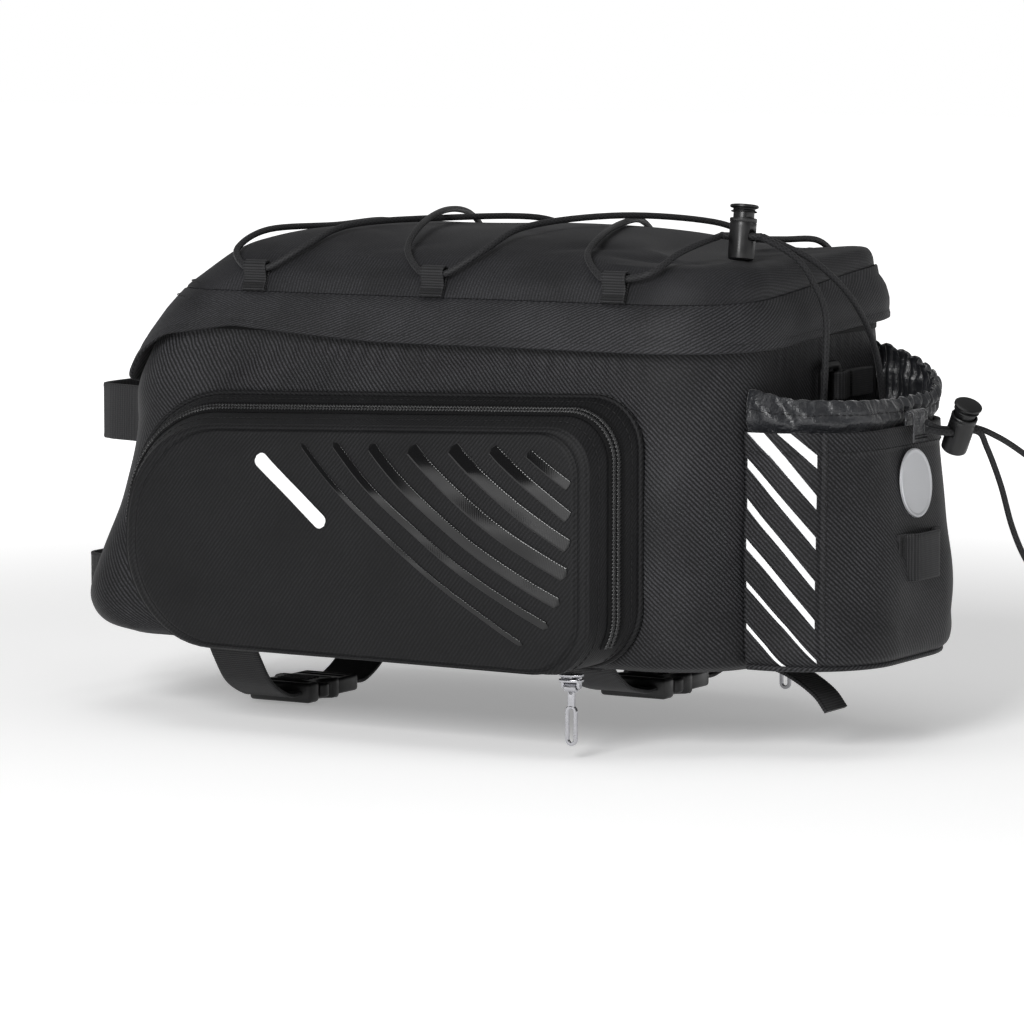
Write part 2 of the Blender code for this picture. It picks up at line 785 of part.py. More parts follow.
def side_face(height):
    """Y of the lid's left face at a height."""
    half = row_at(LID_SECTIONS, (height - SEAM_HEIGHT - CLEARANCE) / LID_RISE)[2]
    return -half * BODY_WIDTH / 2


def cord_centre(place_x, side):
    """Middle of the hole in a cord loop."""
    foot, up, out = loop_frame(place_x)
    spot = foot + up * (CORD_LOOP_HEIGHT - loop_radius()) + out * loop_stand()
    return Vector((spot.x, spot.y * -side, spot.z))


def loop_radius():
    """Middle radius of the webbing round the cord."""
    return BUNGEE_DIAMETER / 2 + 1.5 * CLEARANCE + CORD_LOOP_WEB / 2


def loop_stand():
    """Distance of the cord's middle from the lid's face."""
    return loop_radius() + CORD_LOOP_WEB / 2 + CLEARANCE


def cord_loops():
    """Six folded loops of narrow webbing along the lid's edges, three on each side."""
    radius = loop_radius()
    stand = loop_stand()
    base = CORD_LOOP_WEB / 2 + CLEARANCE
    for number, place_x in enumerate(LACE_PLACES, 1):
        foot, up, out = loop_frame(place_x)
        flat = [(0.0, base), (0.35, base)]
        middle = CORD_LOOP_HEIGHT - radius
        arc = arc_points((0.0, 0.0), radius, 180, 0, 8)
        line = [(share * middle, depth) for share, depth in flat]
        line += [(middle + y, stand + x) for x, y in arc]
        line += [(0.35 * middle, base + CORD_LOOP_WEB + CLEARANCE), (0.0, base + CORD_LOOP_WEB + CLEARANCE)]
        path = [foot + up * height + out * depth for height, depth in line]
        name = "cord_loop_left_%d" % number
        left = webbing(name, path, (1.0, 0.0, 0.0), CORD_LOOP_WIDTH, CORD_LOOP_WEB)
        mirrored(left, "cord_loop_right_%d" % number)


def tube(name, points, diameter, material):
    """A cord: a round tube along a line of points, with closed ends."""
    curve = bpy.data.curves.new(name, "CURVE")
    curve.dimensions = "3D"
    curve.bevel_depth = diameter / 2
    curve.bevel_resolution = 2
    curve.use_fill_caps = True
    spline = curve.splines.new("POLY")
    spline.points.add(len(points) - 1)
    for spot, point in zip(spline.points, points):
        spot.co = (*point, 1.0)
    return add_object(name, curve, material)


def over_lid(x, y, lift):
    """Point of a cord off the lid's face: its own radius, a gap and a lift."""
    step = 0.002
    slope_x = lid_height(x + step, y) - lid_height(x - step, y)
    slope_y = lid_height(x, y + step) - lid_height(x, y - step)
    normal = Vector((-slope_x, -slope_y, 2 * step)).normalized()
    return Vector((x, y, lid_height(x, y))) + normal * (BUNGEE_DIAMETER / 2 + 2 * CLEARANCE + lift)


def lock_strand(frame, along, side, diameter):
    """Point on one of the two strands through a lock."""
    across = side * (diameter + CLEARANCE) / 2
    return frame @ Vector((along, across, LOCK_HOLE_HEIGHT))


def lace_turn(place_x, side, way):
    """Three points of the cord through one loop. Way is 1 where it runs to the rear."""
    centre = cord_centre(place_x, side)
    half = CORD_LOOP_WIDTH / 2 + BUNGEE_DIAMETER / 2
    return [centre + Vector((way * share * half, 0.0, 0.0)) for share in (-1.0, 0.0, 1.0)]


def lacing_route():
    """The elastic cord: pocket, lock, zigzag over the lid through six loops, lock, pocket."""
    frame = top_lock_frame()
    reach = LOCK_RADIUS + CORD_LEAD
    route = [Vector((BODY_REAR + out, y, z)) for out, y, z in RIGHT_TAIL]
    route += [lock_strand(frame, along * reach, RIGHT, BUNGEE_DIAMETER) for along in (1, -1)]
    route += [over_lid(BODY_REAR - ahead, y, lift) for ahead, y, lift in FIRST_LEG]
    for index, (place, side, way) in enumerate(LACE_STOPS):
        route += lace_turn(LACE_PLACES[place], side, way)
        if index + 1 < len(LACE_STOPS):
            route += lace_leg(LACE_STOPS[index], LACE_STOPS[index + 1], LEG_LIFTS[index])
    route += [over_lid(BODY_REAR - ahead, y, lift) for ahead, y, lift in LAST_LEG]
    route += [lock_strand(frame, along * reach, LEFT, BUNGEE_DIAMETER) for along in (-1, 1)]
    route += [Vector((BODY_REAR + out, y, z)) for out, y, z in LEFT_TAIL]
    return route


def lace_leg(start, end, lift):
    """Cord over the crown between two loops: it leaves each one along the edge and then climbs."""
    place, side, way = start
    next_place, next_side, next_way = end
    first = LACE_PLACES[place]
    last = LACE_PLACES[next_place]
    bow = LACE_BOW if place == next_place else 0.0
    edge = BODY_WIDTH / 2
    leg = []
    for share, leave, arrive, rise in LEG_SHAPE:
        x = first + (last - first) * share + LACE_RUN * (way * leave - next_way * arrive)
        x -= 4 * bow * share * (1 - share)
        y = side * edge * (1 - 2 * share)
        leg.append(over_lid(x, y, rise * LACE_RISE + (1 - abs(1 - 2 * share)) * lift))
    return leg


def bungee_cord():
    """The elastic cord of the lid, from end to end."""
    tube("bungee_cord", smooth_line(lacing_route(), 1), BUNGEE_DIAMETER, "elastic_cord")


def bottle_line(height, offset=0.0):
    """The bottle pocket's U in plan at a height, from the left seam round to the right one."""
    depth, width = row_at(BOTTLE_SECTIONS, height / BOTTLE_HEIGHT)
    side = width * BOTTLE_WIDTH / 2
    reach = BODY_REAR + CLEARANCE + depth * BOTTLE_DEPTH - BOTTLE_WALL
    lap = side - BOTTLE_WALL - BODY_WIDTH / 2 + REAR_RADIUS
    wall = BODY_REAR - REAR_RADIUS + math.sqrt(REAR_RADIUS ** 2 - lap ** 2)
    start = (wall + CLEARANCE, -side - offset)
    near = arc_points((reach - BOTTLE_RADIUS, BOTTLE_RADIUS - side), BOTTLE_RADIUS + offset, 270, 360, 8)
    line = [start] + near
    return line + between(line[-1], (line[-1][0], -line[-1][1]), 3) + [(x, -y) for x, y in reversed(line)]


def bottle_pocket():
    """The bottle pocket: a deep cup on the rear wall, open at its top and against the wall."""
    rings = []
    for share, *_ in BOTTLE_SECTIONS:
        height = share * BOTTLE_HEIGHT
        rings.append([(x, y, height) for x, y in bottle_line(height)])
    floor = BOTTLE_SECTIONS[0][0] * BOTTLE_HEIGHT
    side = rings[0][-1][1] - BOTTLE_WALL
    wall = plan_outline(BODY_FRONT, BODY_REAR, BODY_WIDTH / 2, CLEARANCE)
    rim = [(x, y, floor) for x, y in reversed(wall) if x > 0 and abs(y) < side]
    item = skin("bottle_pocket", rings, "black_cloth", ring_closed=False, caps="start", rim=rim)
    thicken(item, BOTTLE_WALL)


def pocket_collar():
    """The thin gathered collar on the bottle pocket's rim, higher towards the right seam."""
    line = bottle_line(BOTTLE_HEIGHT)
    inner = bottle_line(BOTTLE_HEIGHT, -COLLAR_WALL)
    low = BOTTLE_HEIGHT + CLEARANCE
    rings = []
    for index, (x, y) in enumerate(line):
        share = index / (len(line) - 1)
        gather = COLLAR_GATHER * math.cos(math.pi * index)
        top = BOTTLE_HEIGHT + row_at(COLLAR_TOPS, share)[0] * COLLAR_HEIGHT + gather
        inner_x, inner_y = inner[index]
        rings.append([(x, y, low), (x, y, top), (inner_x, inner_y, top), (inner_x, inner_y, low)])
    skin("pocket_collar", rings, "nylon_grey", caps="both")


def collar_tab():
    """The folded tab where the drawcord leaves the collar's channel."""
    centre = tab_centre()
    size = (TAB_THICKNESS, TAB_WIDTH, TAB_WIDTH)
    box("collar_tab", size, centre, "nylon_grey", 0.2 * TAB_THICKNESS)


def tab_centre():
    """Middle of the collar's tab: it clears the bottle pocket, which leans out below it."""
    low = BOTTLE_HEIGHT - TAB_WIDTH / 2
    return Vector((rear_reach(low) + CLEARANCE + TAB_THICKNESS / 2, 0.0, BOTTLE_HEIGHT))


def drawcord_route():
    """The drawcord: out of the tab, through the lock, round a plain loop and back."""
    frame = bottle_lock_frame()
    reach = LOCK_RADIUS + CORD_LEAD
    stand = (TAB_THICKNESS + DRAWCORD_DIAMETER) / 2 + CLEARANCE
    tab = tab_centre() + Vector((stand, 0.1 * TAB_WIDTH, 0.0))
    strand = Vector((0.0, 0.0, DRAWCORD_DIAMETER / 2 + CLEARANCE))
    turn = math.radians(BOTTLE_LOCK_TURN)
    start = frame @ Vector((reach, 0.0, LOCK_HOLE_HEIGHT))
    route = [tab + strand]
    route += [lock_strand(frame, way * reach, RIGHT, DRAWCORD_DIAMETER) for way in (-1, 1)]
    for along, drop in LOOP_LINE:
        route.append(start + Vector((along * math.cos(turn), along * math.sin(turn), -drop)))
    route += [lock_strand(frame, way * reach, LEFT, DRAWCORD_DIAMETER) for way in (1, -1)]
    route += [tab - strand]
    return route


def pocket_drawcord():
    """The drawcord of the bottle pocket's collar."""
    tube("pocket_drawcord", smooth_line(drawcord_route(), 2), DRAWCORD_DIAMETER, "elastic_cord")


def bowed_strap(name, height, width, half_span, reach):
    """A strap sewn to the front wall at both ends and bowed forwards between them."""
    front = row_at(BODY_SECTIONS, height / SEAM_HEIGHT)[0] * BODY_FRONT
    wall = -front - CLEARANCE - WEBBING / 2
    corner = front_wall_lean(height, width)
    shares = ((-1.0, 0.00), (-0.93, 0.22), (-0.84, 0.78), (-0.68, 0.98), (0.0, 1.0))
    half = [(wall - corner - reach * out, half_span * along, height) for along, out in shares]
    line = half + [(x, -y, z) for x, y, z in reversed(half[:-1])]
    webbing(name, smooth_line(line, 3), (0.0, 0.0, 1.0), width, WEBBING)


def front_wall_lean(height, width):
    """How far the raked front wall comes forward over a strap's width."""
    low = height - width / 2
    reaches = [row_at(BODY_SECTIONS, (low + width * step / 12) / SEAM_HEIGHT)[0] for step in range(13)]
    return (max(reaches) - row_at(BODY_SECTIONS, height / SEAM_HEIGHT)[0]) * BODY_FRONT


def round_badge():
    """The plain round badge on the bottle pocket's rear face, below the collar's tab."""
    item = cylinder("round_badge", BADGE_DIAMETER / 2, 0.0, BADGE_THICKNESS, "silver_badge", sides=32)
    height = badge_height()
    lean = rear_reach(height - BADGE_DIAMETER / 2) - rear_reach(height + BADGE_DIAMETER / 2)
    angle = math.pi / 2 - math.atan2(lean, BADGE_DIAMETER)
    x = rear_reach(height) + 2 * CLEARANCE
    place(item, Matrix.Translation((x, 0.0, height)) @ Matrix.Rotation(angle, 4, "Y"))


def badge_height():
    """Height of the badge's middle: the tab reaches down past the rim by half its width."""
    return BOTTLE_HEIGHT - TAB_WIDTH / 2 - BADGE_DROP - BADGE_DIAMETER / 2


def rear_reach(height):
    """X of the bottle pocket's rear face at a height."""
    return max(point[0] for point in bottle_line(height))


def light_loop():
    """The loop of webbing for a lamp's clip, across the bottle pocket's rear face."""
    height = badge_height() - BADGE_DIAMETER / 2 - LIGHT_LOOP_DROP - LIGHT_LOOP_WIDTH / 2
    base = rear_reach(height - LIGHT_LOOP_WIDTH / 2) + CLEARANCE + WEBBING / 2
    half = LIGHT_LOOP_LENGTH / 2
    shares = ((-1.0, 0.0), (-0.72, 0.0), (-0.55, 0.85), (-0.3, 1.0))
    line = [(base + LIGHT_LOOP_STAND * out, half * along, height) for along, out in shares]
    line += [(x, -y, z) for x, y, z in reversed(line)]
    path = [Vector((max(point.x, base), point.y, point.z)) for point in smooth_line(line, 2)]
    webbing("light_loop", path, (0.0, 0.0, 1.0), LIGHT_LOOP_WIDTH, WEBBING)


def strap_ring():
    """The moulded ring on the rear wall, and the webbing tab that holds its right bar."""
    y, z = RING_PLACE
    bar = RING_BAR / 2
    eye = bar + CLEARANCE + WEBBING / 2
    x = BODY_REAR + CLEARANCE + WEBBING + CLEARANCE + bar
    half_y = RING_WIDTH / 2 - bar
    half_z = RING_HEIGHT / 2 - bar
    loop = []
    for quarter, (side_y, side_z) in enumerate(((1, 1), (-1, 1), (-1, -1), (1, -1))):
        centre = (side_y * (half_y - RING_CORNER), side_z * (half_z - RING_CORNER))
        loop += arc_points(centre, RING_CORNER, 90 * quarter, 90 * quarter + 90, 4)
    curve = bpy.data.curves.new("strap_ring", "CURVE")
    curve.dimensions = "3D"
    curve.bevel_depth = bar
    curve.bevel_resolution = 2
    spline = curve.splines.new("POLY")
    spline.points.add(len(loop) - 1)
    hinge_y = y + half_y
    for spot, (along, up) in zip(spline.points, loop):
        spot.co = (0.0, along - half_y, up, 1.0)
    spline.use_cyclic_u = True
    item = add_object("strap_ring", curve, "black_plastic")
    place(item, Matrix.Translation((x, hinge_y, z)))
    ring_tab(x, hinge_y, z, eye)


def ring_tab(x, hinge_y, z, eye):
    """Webbing folded round the ring's bar: both layers run along the wall to their seam."""
    back = x - eye
    arc = [(hinge_y - eye * math.sin(angle), x - eye * math.cos(angle)) for angle in arc_angles(8)]
    layers = [(hinge_y + RING_TAB_LENGTH, back)] + arc
    end = back + WEBBING + CLEARANCE
    layers += [(hinge_y + 0.3 * RING_TAB_LENGTH, end), (hinge_y + RING_TAB_LENGTH, end)]
    path = [Vector((depth, along, z)) for along, depth in layers]
    webbing("ring_tab", path, (0.0, 0.0, 1.0), RING_TAB_WIDTH, WEBBING)


def arc_angles(steps):
    """Angles of a half turn."""
    return [math.pi * step / steps for step in range(steps + 1)]


def rack_strap(name, place_x, sag):
    """A strap under the base with a fastened side-release buckle near its middle."""
    half = BODY_WIDTH / 2
    seat = -2 * CLEARANCE - WEBBING / 2
    for side, label in ((LEFT, "left"), (RIGHT, "right")):
        line = [(place_x, -side * along * half, seat - drop * sag) for along, drop in STRAP_LINE]
        path = [Vector((point.x, point.y, min(point.z, seat))) for point in smooth_line(line, 3)]
        webbing("%s_strap_%s" % (name, label), path, (1.0, 0.0, 0.0), STRAP_WIDTH, WEBBING)
    end = abs(STRAP_LINE[-1][0]) * half - CLEARANCE
    height = seat - STRAP_LINE[-1][1] * sag
    joint = 0.15 * end
    box(name + "_buckle_socket", (BUCKLE_WIDTH, end + joint, BUCKLE_HEIGHT),
        (place_x, (joint - end) / 2, height), "black_plastic", BUCKLE_EDGE)
    box(name + "_buckle_prong", (BUCKLE_WIDTH * 0.9, end - joint - CLEARANCE, BUCKLE_HEIGHT * 0.8),
        (place_x, (joint + CLEARANCE + end) / 2, height), "black_plastic", BUCKLE_EDGE)


def rear_strap():
    """The short free strap below the base's rear end."""
    seat = -2 * CLEARANCE - WEBBING / 2
    line = []
    for along, drop in REAR_STRAP_LINE:
        line.append((along * BODY_REAR, REAR_STRAP_SIDE, seat - drop * REAR_STRAP_SAG))
    path = [Vector((point.x, point.y, min(point.z, seat))) for point in smooth_line(line, 3)]
    webbing("rear_strap", path, (0.0, 1.0, 0.0), REAR_STRAP_WIDTH, WEBBING)


def slider_frame(side):
    """Frame of a side zip's slider: below the gusset's lower rear end."""
    y = -BODY_WIDTH / 2 - CLEARANCE - 0.5 * POCKET_DEPTH
    return Matrix.Translation((SLIDER_PLACE, y * -side, -CLEARANCE))


def side_sliders():
    """Zip sliders with a bar each, and the long pull that swings on the bar."""
    eye_inner = PULL_BAR_RADIUS + CLEARANCE
    eye_outer = eye_inner + PULL_EYE_WALL
    bar_z = -SLIDER_HEIGHT - eye_outer - CLEARANCE
    lug_low = bar_z - PULL_BAR_RADIUS - LUG_THICKNESS / 4
    lug_size = (LUG_THICKNESS, LUG_WIDTH, -SLIDER_HEIGHT / 2 - lug_low)
    reach = (PULL_WIDTH + LUG_THICKNESS) / 2 + CLEARANCE
    for side, label in ((LEFT, "left"), (RIGHT, "right")):
        frame = slider_frame(side)
        name = "side_slider_" + label
        block = box(name, (SLIDER_LENGTH, SLIDER_WIDTH, SLIDER_HEIGHT), (0.0, 0.0, -SLIDER_HEIGHT / 2),
                    "bright_metal")
        for number, way in enumerate((-1, 1)):
            centre = (way * reach, 0.0, lug_low + lug_size[2] / 2)
            lug = box("%s_lug_%d" % (name, number), lug_size, centre, None, group=CUTTERS)
            place(lug, frame)
            combine(block, lug, "UNION")
        bar = cylinder(name + "_bar", PULL_BAR_RADIUS, -reach, reach, None, CUTTERS, 10)
        place(bar, frame @ Matrix.Translation((0.0, 0.0, bar_z)) @ Matrix.Rotation(math.pi / 2, 4, "Y"))
        combine(block, bar, "UNION")
        place(block, frame)
        side_pull("side_pull_" + label, frame @ Matrix.Translation((0.0, 0.0, bar_z)), eye_inner)


def side_pull(name, frame, eye_inner):
    """A long flat pull with a slot near its tip, and an eye for the slider's bar at its head."""
    eye_outer = eye_inner + PULL_EYE_WALL
    pull = cylinder(name, eye_outer, -PULL_WIDTH / 2, PULL_WIDTH / 2, "bright_metal", sides=14)
    pull.data.transform(Matrix.Rotation(math.pi / 2, 4, "Y"))
    tongue = PULL_LENGTH - eye_inner
    plate = box(name + "_plate", (PULL_WIDTH, PULL_THICKNESS, tongue),
                (0.0, 0.0, -eye_inner - tongue / 2), None, group=CUTTERS)
    hole = cylinder(name + "_eye", eye_inner, -PULL_WIDTH, PULL_WIDTH, None, CUTTERS, 14)
    slot = box(name + "_slot", (PULL_WIDTH * 0.5, 4 * PULL_THICKNESS, 0.3 * tongue),
               (0.0, 0.0, -0.78 * PULL_LENGTH), None, group=CUTTERS)
    combine(pull, plate, "UNION")
    combine(pull, hole, "DIFFERENCE")
    combine(pull, slot, "DIFFERENCE")
    place(hole, frame @ Matrix.Rotation(math.pi / 2, 4, "Y"))
    for item in (pull, plate, slot):
        place(item, frame)


def build():
    """Every piece of the bag."""
    clear_scene()
    main_body()
    lid()
    rain_flap()
    main_zip()
    side_pockets()
    side_zips()
    side_sliders()
    cord_loops()
    bungee_cord()
    cord_lock("top_lock", top_lock_frame(), BUNGEE_DIAMETER)
    bottle_pocket()
    pocket_collar()
    collar_tab()
    cord_lock("bottle_lock", bottle_lock_frame(), DRAWCORD_DIAMETER)
    pocket_drawcord()
    round_badge()
    light_loop()
    strap_ring()
    bowed_strap("carry_handle", HANDLE_HEIGHT, STRAP_WIDTH, HANDLE_SPAN / 2, HANDLE_REACH)
    bowed_strap("lower_loop", LOWER_LOOP_HEIGHT, LOWER_LOOP_WIDTH, LOWER_LOOP_SPAN / 2, LOWER_LOOP_REACH)
    rack_strap("front", FRONT_STRAP_PLACE, FRONT_STRAP_SAG)
    rack_strap("middle", MIDDLE_STRAP_PLACE, MIDDLE_STRAP_SAG)
    rear_strap()


build()
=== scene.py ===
"""A bicycle rack bag: raked tub, crowned lid with elastic lacing, side pockets, gathered bottle pocket.

Metres, +Z up, +X to the rear, -Y to the bag's left side. Lengths are written in millimetres times MM.
"""

import math

import bpy
import numpy as np
from mathutils import Matrix, Vector


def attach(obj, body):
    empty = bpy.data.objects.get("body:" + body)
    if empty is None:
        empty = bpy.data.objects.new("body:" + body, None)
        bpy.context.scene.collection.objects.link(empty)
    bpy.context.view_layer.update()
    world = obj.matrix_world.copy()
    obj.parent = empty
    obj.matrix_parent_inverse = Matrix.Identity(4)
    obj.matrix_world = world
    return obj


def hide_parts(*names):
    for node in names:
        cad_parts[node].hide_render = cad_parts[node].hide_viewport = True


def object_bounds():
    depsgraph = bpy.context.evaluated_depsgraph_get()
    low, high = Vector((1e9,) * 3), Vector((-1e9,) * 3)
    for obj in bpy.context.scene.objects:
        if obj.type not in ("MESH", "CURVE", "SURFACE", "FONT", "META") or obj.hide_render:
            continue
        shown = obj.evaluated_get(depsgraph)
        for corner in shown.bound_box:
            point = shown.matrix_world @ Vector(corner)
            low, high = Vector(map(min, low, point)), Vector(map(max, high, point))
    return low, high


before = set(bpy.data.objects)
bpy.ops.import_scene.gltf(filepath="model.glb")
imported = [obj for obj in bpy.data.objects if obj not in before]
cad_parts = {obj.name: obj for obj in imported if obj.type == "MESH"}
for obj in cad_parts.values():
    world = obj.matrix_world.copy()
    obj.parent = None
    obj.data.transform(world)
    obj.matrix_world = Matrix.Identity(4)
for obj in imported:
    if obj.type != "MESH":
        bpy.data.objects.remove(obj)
cad_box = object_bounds()
MM = 0.001

# Camera. It stands 2.2 m from the bag, 30 degrees round from its left side and 6 degrees above its
# base, with a long lens.
lens = bpy.data.cameras.new("camera")
lens.sensor_width = 36.0
lens.lens = 177.75
lens.clip_end = 30.0
camera = bpy.data.objects.new("camera", lens)
bpy.context.scene.collection.objects.link(camera)
camera.location = (1.1085, -1.9068, 0.2850)
camera.rotation_euler = (Vector((0.0145, -0.012, 0.055))
                         - camera.location).to_track_quat("-Z", "Y").to_euler()
bpy.context.scene.camera = camera


# Studio. One pale floor just below the straps that glows far from the bag, so that it meets the white
# backdrop without a line, and three soft lamps: above, to the left of the lens and behind the rear.
def linear(code):
    """sRGB hex to linear: c / 12.92 below 0.04045, else ((c + 0.055) / 1.055) ** 2.4."""
    value = np.array([int(code[i:i + 2], 16) for i in (1, 3, 5)]) / 255.0
    value = np.where(value <= 0.04045, value / 12.92, ((value + 0.055) / 1.055) ** 2.4)
    return (*value.tolist(), 1.0)


def add(tree, kind, settings=None, inputs=None):
    """Adds a node, with its settings, and its inputs as values or as links from other nodes."""
    made = tree.nodes.new(kind)
    for key, value in (settings or {}).items():
        setattr(made, key, value)
    for key, value in (inputs or {}).items():
        if isinstance(value, bpy.types.NodeSocket):
            tree.links.new(value, made.inputs[key])
        else:
            made.inputs[key].default_value = value
    return made


def blank(name, colour, roughness, **sockets):
    """New material: its tree and its Principled BSDF, with constant values on the sockets."""
    made = bpy.data.materials.new(name)
    made.use_nodes = True
    shader = made.node_tree.nodes["Principled BSDF"]
    shader.inputs["Base Color"].default_value = linear(colour)
    shader.inputs["Roughness"].default_value = roughness
    for key, value in sockets.items():
        shader.inputs[key.replace("_", " ")].default_value = value
    return made, made.node_tree, shader


def bumped(tree, shader, height, strength, distance):
    """Gives a shader fine relief."""
    relief = add(tree, "ShaderNodeBump", {}, {"Strength": strength, "Distance": distance, "Height": height})
    tree.links.new(relief.outputs[0], shader.inputs["Normal"])


floor_mesh = bpy.data.meshes.new("floor")
floor_mesh.from_pydata([(-9, -9, 0), (9, -9, 0), (9, 9, 0), (-9, 9, 0)], [], [(0, 1, 2, 3)])
floor_mesh.transform(Matrix.Translation((0.0, 0.0, cad_box[0][2] - 1.5 * MM)))
floor = bpy.data.objects.new("floor", floor_mesh)
bpy.context.scene.collection.objects.link(floor)
floor_paint, floor_tree, floor_shader = blank("matt_floor", "#f4f4f4", 0.9,
                                              Emission_Color=(1.0, 1.0, 1.0, 1.0))
floor_reach = add(floor_tree, "ShaderNodeVectorMath", {"operation": "LENGTH"}, {
    0: add(floor_tree, "ShaderNodeTexCoord").outputs["Object"]}).outputs["Value"]
floor_tree.links.new(add(floor_tree, "ShaderNodeMapRange", {"interpolation_type": "SMOOTHSTEP"}, {
    0: floor_reach, 1: 0.35, 2: 1.3, 3: 0.3, 4: 1.0}).outputs[0], floor_shader.inputs["Emission Strength"])
floor_mesh.materials.append(floor_paint)

sky = bpy.data.worlds.new("sky")
sky.use_nodes = True
sky.node_tree.nodes["Background"].inputs["Color"].default_value = (1.0, 1.0, 1.0, 1.0)
seen = add(sky.node_tree, "ShaderNodeLightPath").outputs["Is Camera Ray"]
sky.node_tree.links.new(add(sky.node_tree, "ShaderNodeMapRange", {}, {0: seen, 3: 0.2, 4: 1.0}).outputs[0],
                        sky.node_tree.nodes["Background"].inputs["Strength"])
bpy.context.scene.world = sky
bpy.context.scene.view_settings.view_transform = "Standard"

LAMPS = (
    ("lamp_above", (0.10, -0.35, 2.00), 1.6, 9.0),
    ("lamp_left", (0.35, -2.20, 1.10), 0.8, 44.0),
    ("lamp_rear", (2.10, 0.60, 0.90), 0.9, 3.0),
)
for name, place, size, power in LAMPS:
    light = bpy.data.lights.new(name, "AREA")
    light.size = size
    light.energy = power
    lamp = bpy.data.objects.new(name, light)
    bpy.context.scene.collection.objects.link(lamp)
    lamp.location = place
    lamp.rotation_euler = (Vector((0.0, 0.0, 0.08)) - lamp.location).to_track_quat("-Z", "Y").to_euler()


# Elastic cords. Rubber core in a braided polyester sheath, 2.8 mm on the lid and 2.6 mm at the
# bottle pocket. One runs from that pocket through its lock and six loops and back; the other is the
# pocket's drawcord, with a free loop at the rear.
LACING = (
    (173.5, 20.0, 72.0), (175.0, 24.5, 92.0), (175.5, 23.5, 110.0), (175.5, 14.0, 133.0),
    (172.5, -2.0, 153.0), (163.5, -19.5, 169.0), (151.6, -37.4, 178.4), (149.1, -39.1, 179.2),
    (133.9, -39.1, 179.2), (131.8, -37.9, 179.1), (121.8, 0.0, 176.0), (120.6, 38.0, 174.1),
    (123.0, 64.3, 172.9), (121.5, 81.6, 166.7), (112.4, 84.2, 163.2), (105.5, 84.2, 163.2),
    (98.6, 84.2, 163.2), (86.9, 74.9, 172.1), (80.3, 50.1, 180.2), (62.1, 0.0, 184.6), (44.3, -50.2, 181.6),
    (37.1, -75.0, 172.1), (25.4, -84.2, 163.2), (18.5, -84.2, 163.2), (11.6, -84.2, 163.2),
    (-0.2, -75.0, 172.1), (-7.6, -50.2, 181.6), (-25.8, 0.0, 185.0), (-43.9, 50.2, 181.6),
    (-51.3, 75.0, 172.1), (-63.1, 84.2, 163.2), (-70.0, 84.2, 163.2), (-76.9, 84.2, 163.2),
    (-86.2, 74.6, 170.1), (-86.1, 49.6, 177.1), (-82.6, 0.0, 177.1), (-86.1, -49.6, 177.1),
    (-86.2, -74.6, 170.1), (-76.9, -84.2, 163.2), (-70.0, -84.2, 163.2), (-63.1, -84.2, 163.2),
    (-51.3, -74.7, 171.7), (-43.9, -49.9, 180.1), (-25.8, 0.0, 181.6), (-7.6, 49.9, 180.1),
    (-0.2, 74.7, 171.7), (11.6, 84.2, 163.2), (18.5, 84.2, 163.2), (25.4, 84.2, 163.2), (37.1, 74.7, 171.7),
    (44.3, 49.9, 180.1), (62.1, 0.0, 181.2), (80.2, -49.9, 178.8), (86.9, -74.7, 171.7),
    (98.6, -84.2, 163.2), (105.5, -84.2, 163.2), (112.4, -84.2, 163.2), (121.9, -81.8, 166.0),
    (127.0, -66.6, 173.8), (132.3, -43.6, 179.3), (133.9, -42.1, 179.6), (149.1, -42.1, 179.6),
    (151.4, -40.8, 178.9), (161.5, -30.0, 170.0), (167.0, -22.5, 157.0), (169.5, -19.0, 145.0),
    (169.5, -19.0, 124.0), (168.5, -18.0, 105.0), (169.5, -16.0, 80.0))
DRAWCORD = (
    (206.6, 1.3, 101.6), (210.6, 9.1, 98.4), (218.7, 22.0, 98.4), (226.1, 31.5, 93.7), (232.5, 41.6, 86.7),
    (237.8, 50.1, 79.7), (244.1, 60.3, 68.7), (250.0, 69.6, 54.7), (253.7, 75.6, 38.7), (253.2, 74.7, 26.7),
    (249.4, 68.8, 20.7), (244.1, 60.3, 22.7), (238.8, 51.8, 29.7), (233.5, 43.3, 41.7), (229.8, 37.4, 55.7),
    (226.7, 32.3, 73.7), (222.9, 26.4, 89.7), (220.8, 20.6, 96.9), (212.8, 7.7, 96.9), (206.6, 1.3, 98.4))


def through(points, steps):
    """Smooth rows through the given rows: cubic spans whose slope at a row is half the step from the
    row before it to the row after it."""
    here = np.asarray(points, float)
    ring = np.vstack((2 * here[:1] - here[1:2], here, 2 * here[-1:] - here[-2:-1]))
    a, b, c, d = ring[:-3, None], ring[1:-2, None], ring[2:-1, None], ring[3:, None]
    t = np.linspace(0.0, 1.0, steps, endpoint=False)[None, :, None]
    line = (2 * b + (c - a) * t + (2 * a - 5 * b + 4 * c - d) * t ** 2 + (3 * b - a - 3 * c + d) * t ** 3) / 2
    return np.vstack((line.reshape(-1, here.shape[1]), here[-1:]))


def length_along(line):
    """Running length of a line of points."""
    return np.concatenate(([0.0], np.cumsum(np.linalg.norm(np.diff(line, axis=0), axis=1))))


